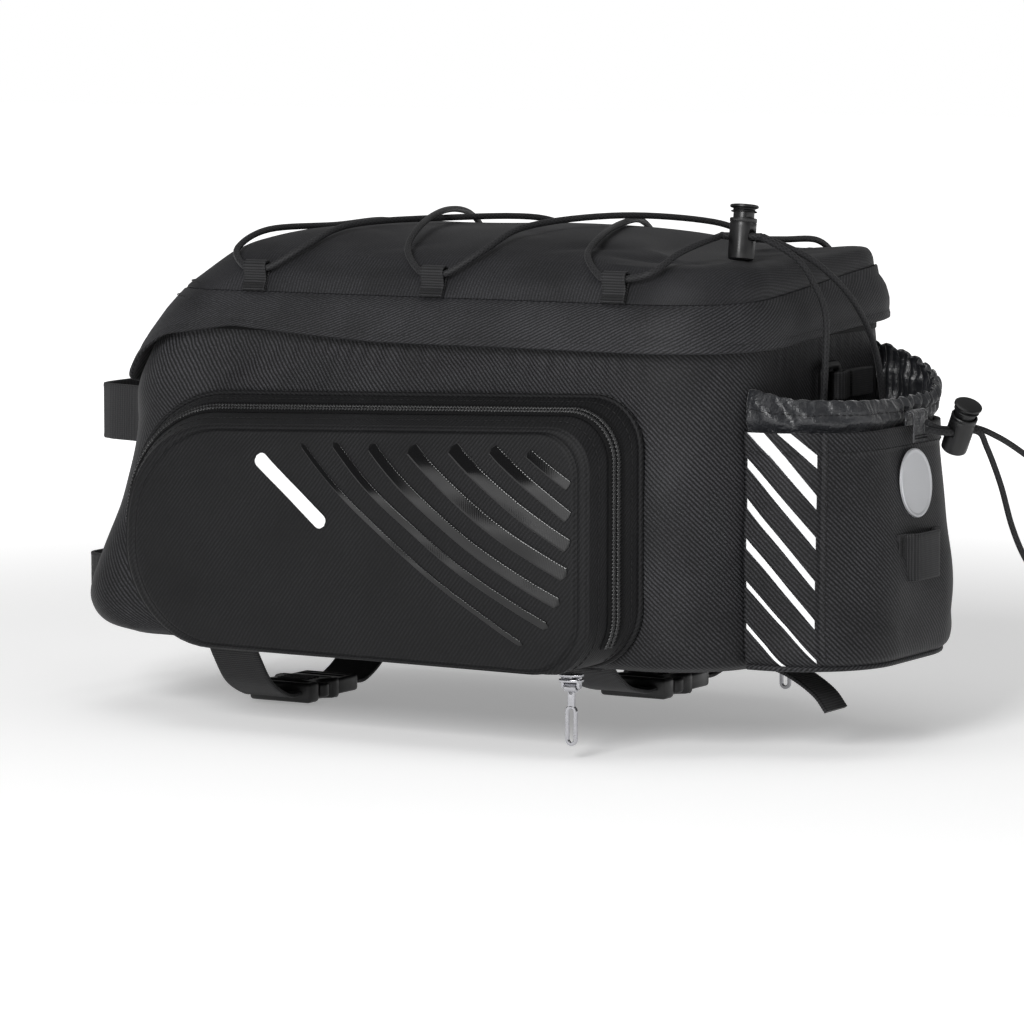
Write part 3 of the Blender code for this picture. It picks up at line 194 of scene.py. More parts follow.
def braid(name, turns):
    """Braided sheath: two sets of crossing diagonal strands, from the UV map in millimetres. Where the
    strands stand highest the colour is painted lighter, a painted highlight.
    """
    made, tree, shader = blank(name, "#0c0c0d", 0.6, Sheen_Weight=0.06, Specular_IOR_Level=0.3)
    flat = add(tree, "ShaderNodeUVMap", {"uv_map": "cloth"})
    strands = []
    for way in (1.0, -1.0):
        turned = add(tree, "ShaderNodeVectorMath", {"operation": "DOT_PRODUCT"},
                     {0: flat.outputs["UV"], 1: (2 * math.pi * 650.0, way * 2 * math.pi * turns, 0.0)})
        strands.append(add(tree, "ShaderNodeMath", {"operation": "SINE"},
                           {0: turned.outputs["Value"]}).outputs[0])
    crossing = add(tree, "ShaderNodeMath", {"operation": "MAXIMUM"}, {0: strands[0], 1: strands[1]})
    tone = add(tree, "ShaderNodeMapRange", {}, {0: crossing.outputs[0], 1: -0.4, 2: 1.0})
    # Painted highlight: strand crests lighter than the hollows between them.
    paint = add(tree, "ShaderNodeMix", {"data_type": "RGBA"},
                {0: tone.outputs[0], 6: linear("#030304"), 7: linear("#1f1f21")})
    relief = add(tree, "ShaderNodeBump", {}, {"Strength": 0.4, "Distance": 0.0002, "Height": tone.outputs[0]})
    tree.links.new(paint.outputs[2], shader.inputs["Base Color"])
    tree.links.new(relief.outputs[0], shader.inputs["Normal"])
    return made


def surface(name, grid, ring=True, path=False, ends=(False, False), outward=None, uv=None, sharp=50.0):
    """Mesh of a grid of points. Rows follow the path and columns go round the ring.

    The UV is the mean length round the ring and along the path, in metres, or a given one for each
    point. Ends close the first and last ring with a fan. Faces point away from the middle, or along
    the outward vector.
    """
    rows, columns = grid.shape[:2]
    r, c = np.meshgrid(np.arange(rows if path else rows - 1), np.arange(columns if ring else columns - 1),
                       indexing="ij")
    r, c = r.ravel(), c.ravel()
    r2, c2 = (r + 1) % rows, (c + 1) % columns
    quads = np.stack((r * columns + c, r * columns + c2, r2 * columns + c2, r2 * columns + c), 1)
    points = grid.reshape(-1, 3)
    if uv is None:
        down = np.linalg.norm(np.roll(grid, -1, 0) - grid, axis=2).mean(1)
        round_ = np.linalg.norm(np.roll(grid, -1, 1) - grid, axis=2).mean(0)
        down = np.concatenate(([0.0], np.cumsum(down)))
        round_ = np.concatenate(([0.0], np.cumsum(round_)))
        corners = np.stack((np.stack((round_[c], round_[c + 1], round_[c + 1], round_[c]), 1),
                            np.stack((down[r], down[r], down[r + 1], down[r + 1]), 1)), 2)
    else:
        corners = uv.reshape(-1, 2)[quads]
    face = np.cross(points[quads[:, 2]] - points[quads[:, 0]], points[quads[:, 3]] - points[quads[:, 1]])
    away = np.asarray(outward) if outward is not None else points[quads].mean(1) - points.mean(0)
    flip = (face * away).sum() < 0
    triangles = np.zeros((0, 3), int)
    tips = np.zeros((0, 3, 2))
    for which, wanted in enumerate(ends):
        if not wanted:
            continue
        start = (rows - 1) * columns if which else 0
        near = start + np.arange(columns)
        far = start + (np.arange(columns) + 1) % columns
        tip = np.full(columns, len(points))
        fan = np.stack((near, far, tip) if which else (far, near, tip), 1)
        points = np.vstack((points, points[near].mean(0)[None]))
        if uv is None:
            level = down[rows - 1] if which else down[0]
            spot = np.stack((round_[:columns], np.full(columns, level)), 1)
            after = np.stack((round_[1:columns + 1], np.full(columns, level)), 1)
            middle = (spot + after) / 2 + (0.0, 2 * MM)
            corner = np.stack((spot, after, middle) if which else (after, spot, middle), 1)
        else:
            flat = uv.reshape(-1, 2)
            corner = np.stack((flat[fan[:, 0]], flat[fan[:, 1]],
                               np.repeat(flat[near].mean(0)[None], columns, 0)), 1)
        triangles = np.vstack((triangles, fan))
        tips = np.vstack((tips, corner))
    if flip:
        quads, corners = quads[:, ::-1], corners[:, ::-1]
        triangles, tips = triangles[:, ::-1], tips[:, ::-1]
    mesh = bpy.data.meshes.new(name)
    mesh.from_pydata(points.tolist(), [], quads.tolist() + triangles.tolist())
    layer = mesh.uv_layers.new(name="cloth")
    layer.data.foreach_set("uv", np.concatenate((corners.ravel(), tips.ravel())))
    mesh.shade_smooth()
    mesh.set_sharp_from_angle(angle=math.radians(sharp))
    item = bpy.data.objects.new(name, mesh)
    bpy.context.scene.collection.objects.link(item)
    return item


def dress(item, finish, body="bag", nodes=()):
    """Gives a piece its material and its body, and hides the nodes that it stands for."""
    item.data.materials.append(finish)
    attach(item, body)
    if nodes:
        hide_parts(*nodes)
    return item


def unit(vectors):
    """Vectors of length one."""
    return vectors / np.maximum(np.linalg.norm(vectors, axis=-1, keepdims=True), 1e-12)


def frames(line, guide, closed=False):
    """Side and up directions along a line: side is guide made square to the line, up is line x side."""
    ahead = np.roll(line, -1, 0) - np.roll(line, 1, 0) if closed else np.gradient(line, axis=0)
    ahead = unit(ahead)
    side = np.broadcast_to(np.asarray(guide, float), line.shape)
    side = unit(side - (side * ahead).sum(1, keepdims=True) * ahead)
    return side, np.cross(ahead, side)


def carried(line, side, up, profile):
    """Grid of a flat profile carried along a line: line + side * across + up * rise."""
    profile = np.asarray(profile)
    if profile.ndim == 2:
        profile = profile[None]
    return line[:, None] + side[:, None] * profile[..., :1] + up[:, None] * profile[..., 1:]


def round_cord(line, diameter, sides=14):
    """Grid of a round tube. Its side direction is turned along the line so that it never twists."""
    ahead = unit(np.gradient(line, axis=0))
    side = np.empty_like(line)
    side[0] = unit(np.cross(ahead[0], (0.3, 0.4, 0.8)))
    for index in range(1, len(line)):
        turned = side[index - 1] - ahead[index] * (side[index - 1] @ ahead[index])
        side[index] = turned / np.linalg.norm(turned)
    angle = np.linspace(0.0, 2 * math.pi, sides, endpoint=False)
    ring = np.stack((np.cos(angle), np.sin(angle)), 1) * diameter / 2
    return carried(line, side, np.cross(ahead, side), ring)


lacing_line = through(np.array(LACING) * MM, 8)
lacing = surface("lacing", round_cord(lacing_line, 2.8 * MM), ends=(True, True))
dress(lacing, braid("braided_elastic_lid", 450.0), nodes=["bungee_cord"])

drawcord_line = through(np.array(DRAWCORD) * MM, 10)
drawcord = surface("drawcord", round_cord(drawcord_line, 2.6 * MM), ends=(True, True))
dress(drawcord, braid("braided_elastic_pocket", 480.0), nodes=["pocket_drawcord"])


# Tub. The base and the four walls: polyester twill over 3 mm of foam, sewn inside out, with a raked
# front wall. The walls are a little uneven, as a filled bag's are, and pucker below the zip.
FRONT, REAR, HALF, SEAM, GAP = 170.4 * MM, 156.5 * MM, 85.0 * MM, 152.0 * MM, 0.3 * MM
CORNERS = ((-1, -1, 180, 28.0 * MM, 120), (1, -1, 270, 40.0 * MM, 36), (1, 1, 0, 40.0 * MM, 120),
           (-1, 1, 90, 28.0 * MM, 36))
TUB = (
    (0.000, 0.890, 0.965, 0.940), (0.020, 0.955, 0.990, 0.985), (0.060, 0.992, 1.000, 1.000),
    (0.120, 1.000, 1.000, 1.000), (0.230, 0.962, 1.000, 1.000), (0.360, 0.910, 1.000, 1.000),
    (0.460, 0.884, 1.000, 1.000), (0.600, 0.852, 1.000, 1.000), (0.710, 0.842, 1.000, 1.000),
    (0.815, 0.798, 1.000, 1.000), (0.890, 0.752, 1.000, 1.000), (1.000, 0.690, 1.000, 1.000))


def ridges(tree, flat, angle, pitch, drift=None):
    """Ridges from 0 to 1: sine of the distance across an angle, over the pitch in metres. Drift is a
    socket that shifts the ridges by up to a fifth of the pitch either way."""
    turn = math.radians(angle)
    across = add(tree, "ShaderNodeVectorMath", {"operation": "DOT_PRODUCT"},
                 {0: flat, 1: (2 * math.pi * math.cos(turn) / pitch, 2 * math.pi * math.sin(turn) / pitch,
                               0.0)})
    phase = across.outputs["Value"]
    if drift:
        phase = add(tree, "ShaderNodeMath", {"operation": "MULTIPLY_ADD"},
                    {0: drift, 1: 2.5, 2: phase}).outputs[0]
    wave = add(tree, "ShaderNodeMath", {"operation": "SINE"}, {0: phase})
    return add(tree, "ShaderNodeMapRange", {}, {0: wave.outputs[0], 1: -1.0, 2: 1.0}).outputs[0]


def specks(tree, flat, size, detail=2.0):
    """Noise from 0 to 1 with grains of a size in metres."""
    made = add(tree, "ShaderNodeTexNoise", {"noise_dimensions": "2D"},
               {"Vector": flat, "Scale": 1.0 / size, "Detail": detail, "Roughness": 0.6})
    return made.outputs["Fac"]


def product(tree, first, second):
    """One socket times another, or times a number."""
    return add(tree, "ShaderNodeMath", {"operation": "MULTIPLY"}, {0: first, 1: second}).outputs[0]


def twill(name, angle, depth=1.0, light="#39393c"):
    """600 denier polyester twill, PU coated inside: diagonal ribs broken into short threads, whose tops are
    painted lighter as a painted highlight where they would catch the light, with a faint bloom of dust
    and wear over larger patches. Light is the colour of that painted highlight. The ribs are 1.5 mm
    apart, coarser than the real 0.9 mm, so that they don't beat with the picture's pixels."""
    made, tree, shader = blank(name, "#161617", 0.62, Sheen_Weight=0.05, Sheen_Roughness=0.4,
                               Specular_IOR_Level=0.25)
    flat = add(tree, "ShaderNodeUVMap", {"uv_map": "cloth"}).outputs["UV"]
    rib = ridges(tree, flat, angle, 1.5 * MM, specks(tree, flat, 6.0 * MM))
    rib = add(tree, "ShaderNodeMapRange", {}, {0: rib, 3: 1.0 - depth, 4: 1.0}).outputs[0]
    thread = specks(tree, flat, 0.8 * MM)
    bloom = specks(tree, flat, 42.0 * MM, 3.0)
    highlight_and_wear = product(tree, product(tree, rib, thread), add(
        tree, "ShaderNodeMapRange", {}, {0: bloom, 1: 0.3, 2: 0.7, 3: 0.75, 4: 1.25}).outputs[0])
    tone = add(tree, "ShaderNodeMapRange", {}, {0: highlight_and_wear, 1: 0.08, 2: 0.68})
    # Painted highlight: the rib tops go from near black to the light colour, scaled by dust and wear.
    paint = add(tree, "ShaderNodeMix", {"data_type": "RGBA"},
                {0: tone.outputs[0], 6: linear("#030304"), 7: linear(light)})
    relief = add(tree, "ShaderNodeBump", {}, {"Strength": 0.6, "Distance": 0.00025, "Height": highlight_and_wear})
    tree.links.new(paint.outputs[2], shader.inputs["Base Color"])
    tree.links.new(relief.outputs[0], shader.inputs["Normal"])
    return made


def plan(front, rear, half, out=0.0):
    """Rounded rectangle in plan for each row of reaches: four arcs, joined by straight runs. The
    radii shrink with the half width."""
    front, rear, half = (np.asarray(value, float).reshape(-1, 1) for value in (front, rear, half))
    arcs = []
    for way, side, start, radius, _ in CORNERS:
        radius = radius * half / HALF + out
        reach = (front if way < 0 else rear) + out
        angle = np.radians(start + np.linspace(0.0, 90.0, 19))
        arcs.append(np.stack((way * (reach - radius) + radius * np.cos(angle),
                              side * (half + out - radius) + radius * np.sin(angle)), 2))
    runs = []
    for arc, after, corner in zip(arcs, arcs[1:] + arcs[:1], CORNERS):
        share = np.linspace(0.0, 1.0, corner[4] + 2)[None, 1:-1, None]
        runs += [arc, arc[:, -1:] + (after[:, :1] - arc[:, -1:]) * share]
    return np.concatenate(runs, 1)


def raised(flat, height):
    """Points of a plan at a height for each row, or for each point."""
    height = np.broadcast_to(np.asarray(height, float).reshape(len(flat), -1), flat.shape[:2])
    return np.concatenate((flat, height[..., None]), 2)


def normals(grid):
    """Unit normals of a grid: the step round the ring crossed with the step along the path."""
    normal = np.cross(np.roll(grid, -1, 1) - np.roll(grid, 1, 1), np.gradient(grid, axis=0))
    middle = grid.reshape(-1, 3).mean(0)
    return unit(normal) * (1.0 if (normal * (grid - middle)).sum() > 0 else -1.0)


def waves(points, table):
    """Sum of soft waves. Each row is depth, direction of three numbers, length and phase."""
    table = np.asarray(table, float)
    phase = 2 * math.pi * (points @ unit(table[:, 1:4]).T) / (table[:, 4] * MM) + table[:, 5]
    return (np.sin(phase) * table[:, 0]).sum(-1) * MM


def thick(item, wall, inwards=True):
    """Gives an open surface its wall."""
    solid = item.modifiers.new("wall", "SOLIDIFY")
    solid.thickness = wall
    solid.offset = -1.0 if inwards else 1.0
    return item


def smooth_step(value):
    """0 below 0, 1 above 1, and t * t * (3 - 2 t) between."""
    t = np.clip(value, 0.0, 1.0)
    return t * t * (3.0 - 2.0 * t)


def creased(flat, table):
    """Depth of soft creases: each is a bell across a segment in plan, in millimetres."""
    total = np.zeros(flat.shape[:-1])
    for start, end, width, depth in table:
        start, end = np.array(start) * MM, np.array(end) * MM
        way = end - start
        share = np.clip(((flat - start) @ way) / (way @ way), 0.0, 1.0)
        reach = np.linalg.norm(flat - start - share[..., None] * way, axis=-1)
        bell = np.exp(-(reach / (width * MM)) ** 2)
        total += depth * MM * bell * np.sin(math.pi * np.clip(share, 0.02, 0.98))
    return total


LEFT_FOLDS = (
    ((-102, 110), (-68, 129), 4.5, -1.2), ((-93, 105), (-50, 125), 5.0, 1.1),
    ((-108, 116), (-84, 131), 4.0, -0.9), ((-62, 108), (-30, 121), 5.0, -1.0),
    ((-114, 78), (-98, 112), 6.0, 0.8), ((104, 122), (146, 130), 5.0, -0.8),
    ((122, 60), (148, 104), 7.0, 0.7), ((118, 16), (142, 50), 6.0, -0.7), ((0, 119), (60, 127), 4.0, -0.6))
RIGHT_FOLDS = (
    ((-98, 108), (-60, 126), 5.0, -1.1), ((-84, 104), (-44, 120), 5.0, 0.9),
    ((110, 118), (148, 128), 5.0, -0.8), ((120, 40), (146, 96), 7.0, 0.7),
    ((-20, 120), (46, 126), 4.0, -0.6))
UNEVEN = ((0.55, 1.0, 0.2, 0.5, 92, 0.4), (0.40, 0.6, 0.3, -1.0, 61, 1.9), (0.25, -0.4, 0.8, 1.0, 37, 0.7))
tub_rows = through(TUB, 7)
tub_height = tub_rows[:, 0] * SEAM
tub_plan = plan(tub_rows[:, 1] * FRONT, tub_rows[:, 2] * REAR, tub_rows[:, 3] * HALF)
tub_grid = raised(tub_plan, tub_height)
along_wall = length_along(tub_grid[-1])
pucker = 0.35 * MM * np.sin(along_wall / (1.15 * MM) + 2.0 * np.sin(along_wall / (9.0 * MM)))
pucker = pucker[None] * np.exp(-((tub_grid[..., 2] - 130.0 * MM) / (7.0 * MM)) ** 2)
soft = np.clip(tub_grid[..., 2] / (20 * MM), 0.0, 1.0)
soft = soft * np.clip((SEAM - tub_grid[..., 2]) / (14 * MM), 0.0, 1.0)
tub_grid = tub_grid + normals(tub_grid) * (soft * waves(tub_grid, UNEVEN) + pucker)[..., None]
folds = 0.0
for way, table in ((-1.0, LEFT_FOLDS), (1.0, RIGHT_FOLDS)):
    near_wall = smooth_step((way * tub_grid[..., 1] - 66 * MM) / (14 * MM))
    folds = folds + near_wall * creased(tub_grid[..., [0, 2]], table)
tub_grid = tub_grid + normals(tub_grid) * folds[..., None]
base_shares = np.array((0.25, 0.50, 0.75, 0.93))
base_rings = raised(tub_plan[:1] * base_shares[:, None, None], np.zeros(4))
body_twill = twill("body_twill", 45.0)
tub = surface("tub", np.concatenate((base_rings, tub_grid)), ends=(True, False))
dress(thick(tub, 3.0 * MM), body_twill, nodes=["main_body"])


# Lid. The crowned top, cut from one piece of twill over foam and sewn to the zip. It stands up at its
# right rear corner, where the seam is turned up like a low wall.
LID_RISE, LID_LIFT = 27.0 * MM, 8.0 * MM
LID = (
    (0.00, 0.690, 1.000, 1.000, 0.0), (0.05, 0.690, 1.000, 1.000, 0.2), (0.30, 0.640, 0.995, 0.965, 1.0),
    (0.54, 0.594, 0.955, 0.895, 0.6), (0.63, 0.572, 0.780, 0.855, 0.2), (0.76, 0.530, 0.640, 0.760, 0.0),
    (0.90, 0.440, 0.540, 0.580, 0.0), (0.98, 0.310, 0.420, 0.340, 0.0), (1.00, 0.160, 0.280, 0.110, 0.0),
    (1.002, 0.060, 0.180, 0.030, 0.0))
CREASES = (
    ((84, -64), (138, -52), 3.6, -1.5), ((96, -40), (124, -60), 3.6, 1.2),
    ((60, -68), (96, -48), 3.2, -1.1), ((124, -30), (150, 26), 3.6, -1.8), ((112, 16), (146, 44), 3.4, 1.3),
    ((-30, -72), (12, -58), 3.2, -0.5), ((-96, -40), (-80, 20), 4.0, -0.6),
    ((-60, -30), (-10, -48), 5.0, -0.5), ((20, -20), (58, -52), 5.0, -0.6),
    ((98, -8), (104, -46), 3.0, -0.7), ((136, -64), (148, -30), 3.0, 0.8))


def corner_lift(flat):
    """How far the lid's seam stands up towards its right rear corner."""
    along = smooth_step((flat[..., 0] - 0.72 * REAR) / (0.28 * REAR))
    return LID_LIFT * along * smooth_step((flat[..., 1] + HALF) / (2 * HALF))


lid_rows = through(LID, 7)
lid_plan = plan(lid_rows[:, 1] * FRONT, lid_rows[:, 2] * REAR, lid_rows[:, 3] * HALF)
lid_height = (SEAM + GAP + LID_RISE * lid_rows[:, 0])[:, None] + lid_rows[:, 4:5] * corner_lift(lid_plan)
lid_grid = raised(lid_plan, lid_height + creased(lid_plan, CREASES))
lid_soft = smooth_step(lid_rows[:, :1] * 4) * waves(lid_grid, UNEVEN) * 0.6
lid_grid = lid_grid + normals(lid_grid) * lid_soft[..., None]
# The lid's copy of the twill has a darker highlight colour than the walls': painted shade, because the lid
# takes more light from above. The cloth is the same.
lid_twill_painted_shade = twill("lid_twill_painted_shade", -7.0, 0.6, "#2c2c2f")
lid_fall = lid_height.max() - lid_grid[..., 2:]
lid_uv = lid_grid[..., :2] + unit(normals(lid_grid)[4, :, :2])[None] * lid_fall
lid = surface("lid_top", lid_grid, ends=(False, True), uv=lid_uv)
dress(thick(lid, 3.0 * MM), lid_twill_painted_shade, nodes=["lid"])


# Rain flap. A doubled strip of twill, sewn all round the lid's seam. It stands off over the zip, its
# hem is turned under, and it drops low at the two front corners.
FLAP_DROP = ((-0.76, 2.40), (-0.74, 2.20), (-0.70, 1.50), (-0.64, 1.00), (-0.45, 0.72), (-0.26, 0.84),
             (0.00, 0.98), (1.00, 1.00))
FLAP_HEIGHT = 18.5 * MM
wall_levels = np.linspace(0.0, SEAM, 96)
wall_reach = [np.interp(wall_levels / SEAM, tub_rows[:, 0], tub_rows[:, k]) for k in (1, 2, 3)]
wall_plan = plan(wall_reach[0] * FRONT, wall_reach[1] * REAR, wall_reach[2] * HALF)
wall_out = np.roll(wall_plan, -1, 1) - np.roll(wall_plan, 1, 1)
wall_out = unit(np.stack((wall_out[..., 1], -wall_out[..., 0]), 2))


def on_wall(height, out):
    """Points off the tub's wall: for each column of the plan, the wall's place at a height, moved out
    level. Height and out are grids with one column for each column of the plan."""
    height, out = np.broadcast_arrays(height, out)
    level = np.clip(height / SEAM, 0.0, 1.0) * (len(wall_levels) - 1)
    low = np.minimum(level.astype(int), len(wall_levels) - 2)
    share = (level - low)[..., None]
    column = np.arange(wall_plan.shape[1])[None]
    flat = wall_plan[low, column] * (1 - share) + wall_plan[low + 1, column] * share
    return raised(flat + wall_out[low, column] * out[..., None], height)


def averaged(table, key, width):
    """A table's value at a key, averaged over a width, so that its corners are rounded."""
    table = np.asarray(table)
    spread = np.linspace(-width, width, 9)
    return np.mean([np.interp(key + step, table[:, 0], table[:, 1]) for step in spread], 0)


seam_line = wall_plan[-1]
seam_length = length_along(seam_line)
seam_rise = corner_lift(seam_line)
flap_fall = FLAP_HEIGHT * averaged(FLAP_DROP, seam_line[:, 0] / REAR, 0.02)
near_side = smooth_step((-seam_line[:, 1] - 60 * MM) / (25 * MM))
belly = near_side * np.exp(-((seam_line[:, 0] + 10 * MM) / (70 * MM)) ** 2)
flap_sway = 0.5 * np.sin(seam_length / (31 * MM)) + 0.3 * np.sin(seam_length / (12 * MM))
flap_stand = (4.5 + 1.6 * belly + flap_sway) * MM
FLAP_SHARES = np.array((0.0, 0.05, 0.12, 0.25, 0.40, 0.55, 0.70, 0.82, 0.90, 0.955, 0.985, 1.0))
flap_seat = np.interp(FLAP_SHARES, (0.0, 0.12, 0.25, 0.6, 1.0), (0.4, 1.6, 2.4, 2.6, 1.8)) * MM
flap_open = np.interp(FLAP_SHARES, (0.0, 0.2, 0.5, 1.0), (0.0, 0.25, 0.75, 1.0))
lip = (0.7 * MM + 0.45 * seam_rise)
flap_top = SEAM - GAP + seam_rise
inside_out = flap_seat[:, None] + flap_open[:, None] * (flap_stand[None] - 1.6 * MM)
inside_height = flap_top[None] - FLAP_SHARES[:, None] * flap_fall[None]
hem_height = flap_top - flap_fall - 0.5 * MM
flap_height = np.concatenate(((flap_top + lip - 0.5 * MM)[None], inside_height, hem_height[None],
                              inside_height[::-1], (flap_top + lip - 0.5 * MM)[None], (flap_top + lip)[None]))
sheet_wall = np.interp(FLAP_SHARES, (0.0, 0.80, 0.86, 0.90, 1.0), (1.5, 1.5, 1.2, 1.9, 1.9))[:, None] * MM
flap_out = np.concatenate(((inside_out[0] - 0.1 * MM)[None], inside_out, (inside_out[-1] + 0.9 * MM)[None],
                           (inside_out + sheet_wall)[::-1], (inside_out[0] + 0.8 * MM)[None],
                           (inside_out[0] + 0.4 * MM)[None]))
flap_grid = on_wall(flap_height, flap_out).transpose(1, 0, 2)
flap_twill = twill("flap_twill", -32.0, 0.8)
flap = surface("flap", flap_grid, ring=True, path=True)
dress(flap, flap_twill, nodes=["rain_flap"])


# Stitches. Bonded polyester thread, 3 stitches to the centimetre: each is a small spindle that dips
# into the cloth at both ends.
def even(line, step, closed=False):
    """A line's points at equal steps of its length. Columns past the third, such as directions, are
    carried along."""
    full = np.vstack((line, line[:1])) if closed else line
    length = length_along(full[:, :3])
    count = max(2, int(round(length[-1] / step)))
    places = np.linspace(0.0, length[-1], count, endpoint=not closed)
    return np.stack([np.interp(places, length, full[:, k]) for k in range(full.shape[1])], 1)


def spindles(name, centres, ahead, out, length, diameter):
    """Many small spindles: radius = sqrt(1 - t * t) for t from -1 to 1 along each."""
    t = np.array((-1.0, -0.75, 0.0, 0.75, 1.0))
    radius = np.sqrt(np.maximum(1.0 - t * t, 0.03)) * diameter / 2
    angle = np.linspace(0.0, 2 * math.pi, 6, endpoint=False)
    side = np.cross(ahead, out)
    ring = out[:, None, None] * np.cos(angle)[:, None] + side[:, None, None] * np.sin(angle)[:, None]
    points = (centres[:, None, None] + ahead[:, None, None] * (t * length / 2)[None, :, None, None]
              + ring * radius[None, :, None, None])
    r, c = np.meshgrid(np.arange(4), np.arange(6), indexing="ij")
    r, c = r.ravel(), c.ravel()
    faces = np.stack((r * 6 + c, (r + 1) * 6 + c, (r + 1) * 6 + (c + 1) % 6, r * 6 + (c + 1) % 6), 1)
    shift = np.arange(len(centres))[:, None, None] * 30
    caps = np.stack((np.arange(6), 29 - np.arange(6)))
    mesh = bpy.data.meshes.new(name)
    mesh.from_pydata(points.reshape(-1, 3).tolist(), [], (faces[None] + shift).reshape(-1, 4).tolist()
                     + (caps[None] + shift).reshape(-1, 6).tolist())
    mesh.shade_smooth()
    item = bpy.data.objects.new(name, mesh)
    bpy.context.scene.collection.objects.link(item)
    return item


def stitched(name, line, out, pitch=3.2 * MM, length=2.5 * MM, diameter=0.55 * MM, closed=False):
    """A row of stitches along a line. Out is a direction, or one for each point of the line."""
    both = np.concatenate((line, np.broadcast_to(out, line.shape)), 1)
    spots = even(both, pitch, closed)
    places, away = spots[:, :3], unit(spots[:, 3:])
    ahead = unit(np.roll(places, -1, 0) - np.roll(places, 1, 0) if closed else np.gradient(places, axis=0))
    away = unit(away - (away * ahead).sum(1, keepdims=True) * ahead)
    item = spindles(name, places, ahead, away, length, diameter)
    return dress(item, thread)


thread, thread_tree, thread_shader = blank("sewing_thread", "#131314", 0.55, Specular_IOR_Level=0.3)
twist = add(thread_tree, "ShaderNodeTexNoise", {}, {
    "Vector": add(thread_tree, "ShaderNodeTexCoord").outputs["Object"], "Scale": 900.0})
bumped(thread_tree, thread_shader, twist.outputs["Fac"], 0.4, 0.0001)
out_level = np.concatenate((wall_out[-1], np.zeros((len(seam_line), 1))), 1)
hem_line = on_wall((flap_top - 0.84 * flap_fall)[None],
                   (inside_out[7] * 0.6 + inside_out[8] * 0.4 + 1.38 * MM)[None])[0]
stitched("flap_hem_stitches", hem_line, out_level, closed=True)
top_line = on_wall((flap_top - 2.6 * MM)[None], (inside_out[2] + 1.42 * MM)[None])[0]
stitched("flap_seam_stitches", top_line, out_level, closed=True)


# Main zip. A woven tape round the tub's mouth with a nylon coil, number 5. It shows only where the
# flap gapes at the front.
def coil(line, side, up, pitch, width, rise):
    """Two rows of teeth side by side: half round beads whose size swells once in each pitch, half a
    pitch out of step with each other. Returns one grid for each row."""
    length = length_along(line)
    turn = np.linspace(0.0, 2 * math.pi, 9)[:-1]
    grids = []
    for way, phase in ((-1.0, 0.0), (1.0, math.pi)):
        swell = 1.0 + 0.36 * np.sin(2 * math.pi * length / pitch + phase)[:, None]
        across = way * width * 0.27 + width * 0.23 * np.cos(turn)[None] * swell
        height = rise * (0.45 + 0.55 * np.sin(turn)[None] * swell)
        grids.append(carried(line, side, up, np.stack((across, height), 2)))
    return grids


def joined(name, pieces):
    """One object from several."""
    bpy.ops.object.select_all(action="DESELECT")
    for piece in pieces:
        piece.select_set(True)
    bpy.context.view_layer.objects.active = pieces[0]
    bpy.ops.object.join()
    pieces[0].name = name
    return pieces[0]


tape_twill, tape_tree, tape_shader = blank("zip_tape_woven", "#0a0a0b", 0.7, Specular_IOR_Level=0.2)
tape_flat = add(tape_tree, "ShaderNodeUVMap", {"uv_map": "cloth"}).outputs["UV"]
tape_rib = ridges(tape_tree, tape_flat, 78.0, 0.9 * MM)
bumped(tape_tree, tape_shader, tape_rib, 0.5, 0.0002)
nylon_coil, coil_tree, coil_shader = blank("zip_coil_nylon", "#101011", 0.3, Specular_IOR_Level=0.6)
coil_grain = specks(coil_tree, add(coil_tree, "ShaderNodeUVMap", {"uv_map": "cloth"}).outputs["UV"], 0.5 * MM)
bumped(coil_tree, coil_shader, coil_grain, 0.2, 0.0001)

ZIP_LEVELS = (146.2, 146.6, 146.2, 138.0, 136.0, 135.8, 136.0, 138.0)
ZIP_OUT = (0.30, 0.60, 0.95, 1.00, 0.95, 0.60, 0.30, 0.25)
zip_grid = on_wall(np.array(ZIP_LEVELS)[:, None] * MM, np.array(ZIP_OUT)[:, None] * MM).transpose(1, 0, 2)
zip_tape = surface("main_zip_tape", zip_grid, path=True)
zip_line = even(on_wall(np.full((1, 1), 141.5 * MM), 1.0 * MM)[0], 0.6 * MM, closed=True)
zip_side, zip_up = frames(zip_line, (0.0, 0.0, -1.0), closed=True)
zip_out = np.where(((zip_up * (zip_line - zip_line.mean(0))).sum(1, keepdims=True)) < 0, -1.0, 1.0) * zip_up
zip_teeth = [surface("main_zip_teeth", grid, path=True)
             for grid in coil(zip_line, zip_side, zip_out, 1.9 * MM, 4.6 * MM, 0.9 * MM)]
dress(zip_tape, tape_twill, nodes=["main_zip"])
dress(joined("main_zip_coil", zip_teeth), nylon_coil)


# Side pockets. Each is a padded panel on a gusset that carries the pocket's zip. The panel's edge is
# rolled over a seam, and a corded welt joins the gusset to the tub.
POCKET_FRONT, POCKET_REAR, POCKET_TOP = 124.0 * MM, 107.0 * MM, 103.0 * MM
POCKET_DEPTH, POCKET_CROWN, POCKET_LEAN = 25.0 * MM, 5.0 * MM, 12.0 * MM
PANEL = ((1.000, -0.010, 0.22), (1.000, 1.000, 0.17), (-0.960, 0.925, 0.45), (-1.000, 0.005, 0.42))
PANEL_MIDDLE = np.array(((POCKET_REAR - POCKET_FRONT) / 2, POCKET_TOP / 2))
ARC, RUNS = 14, (30, 66, 22, 60)


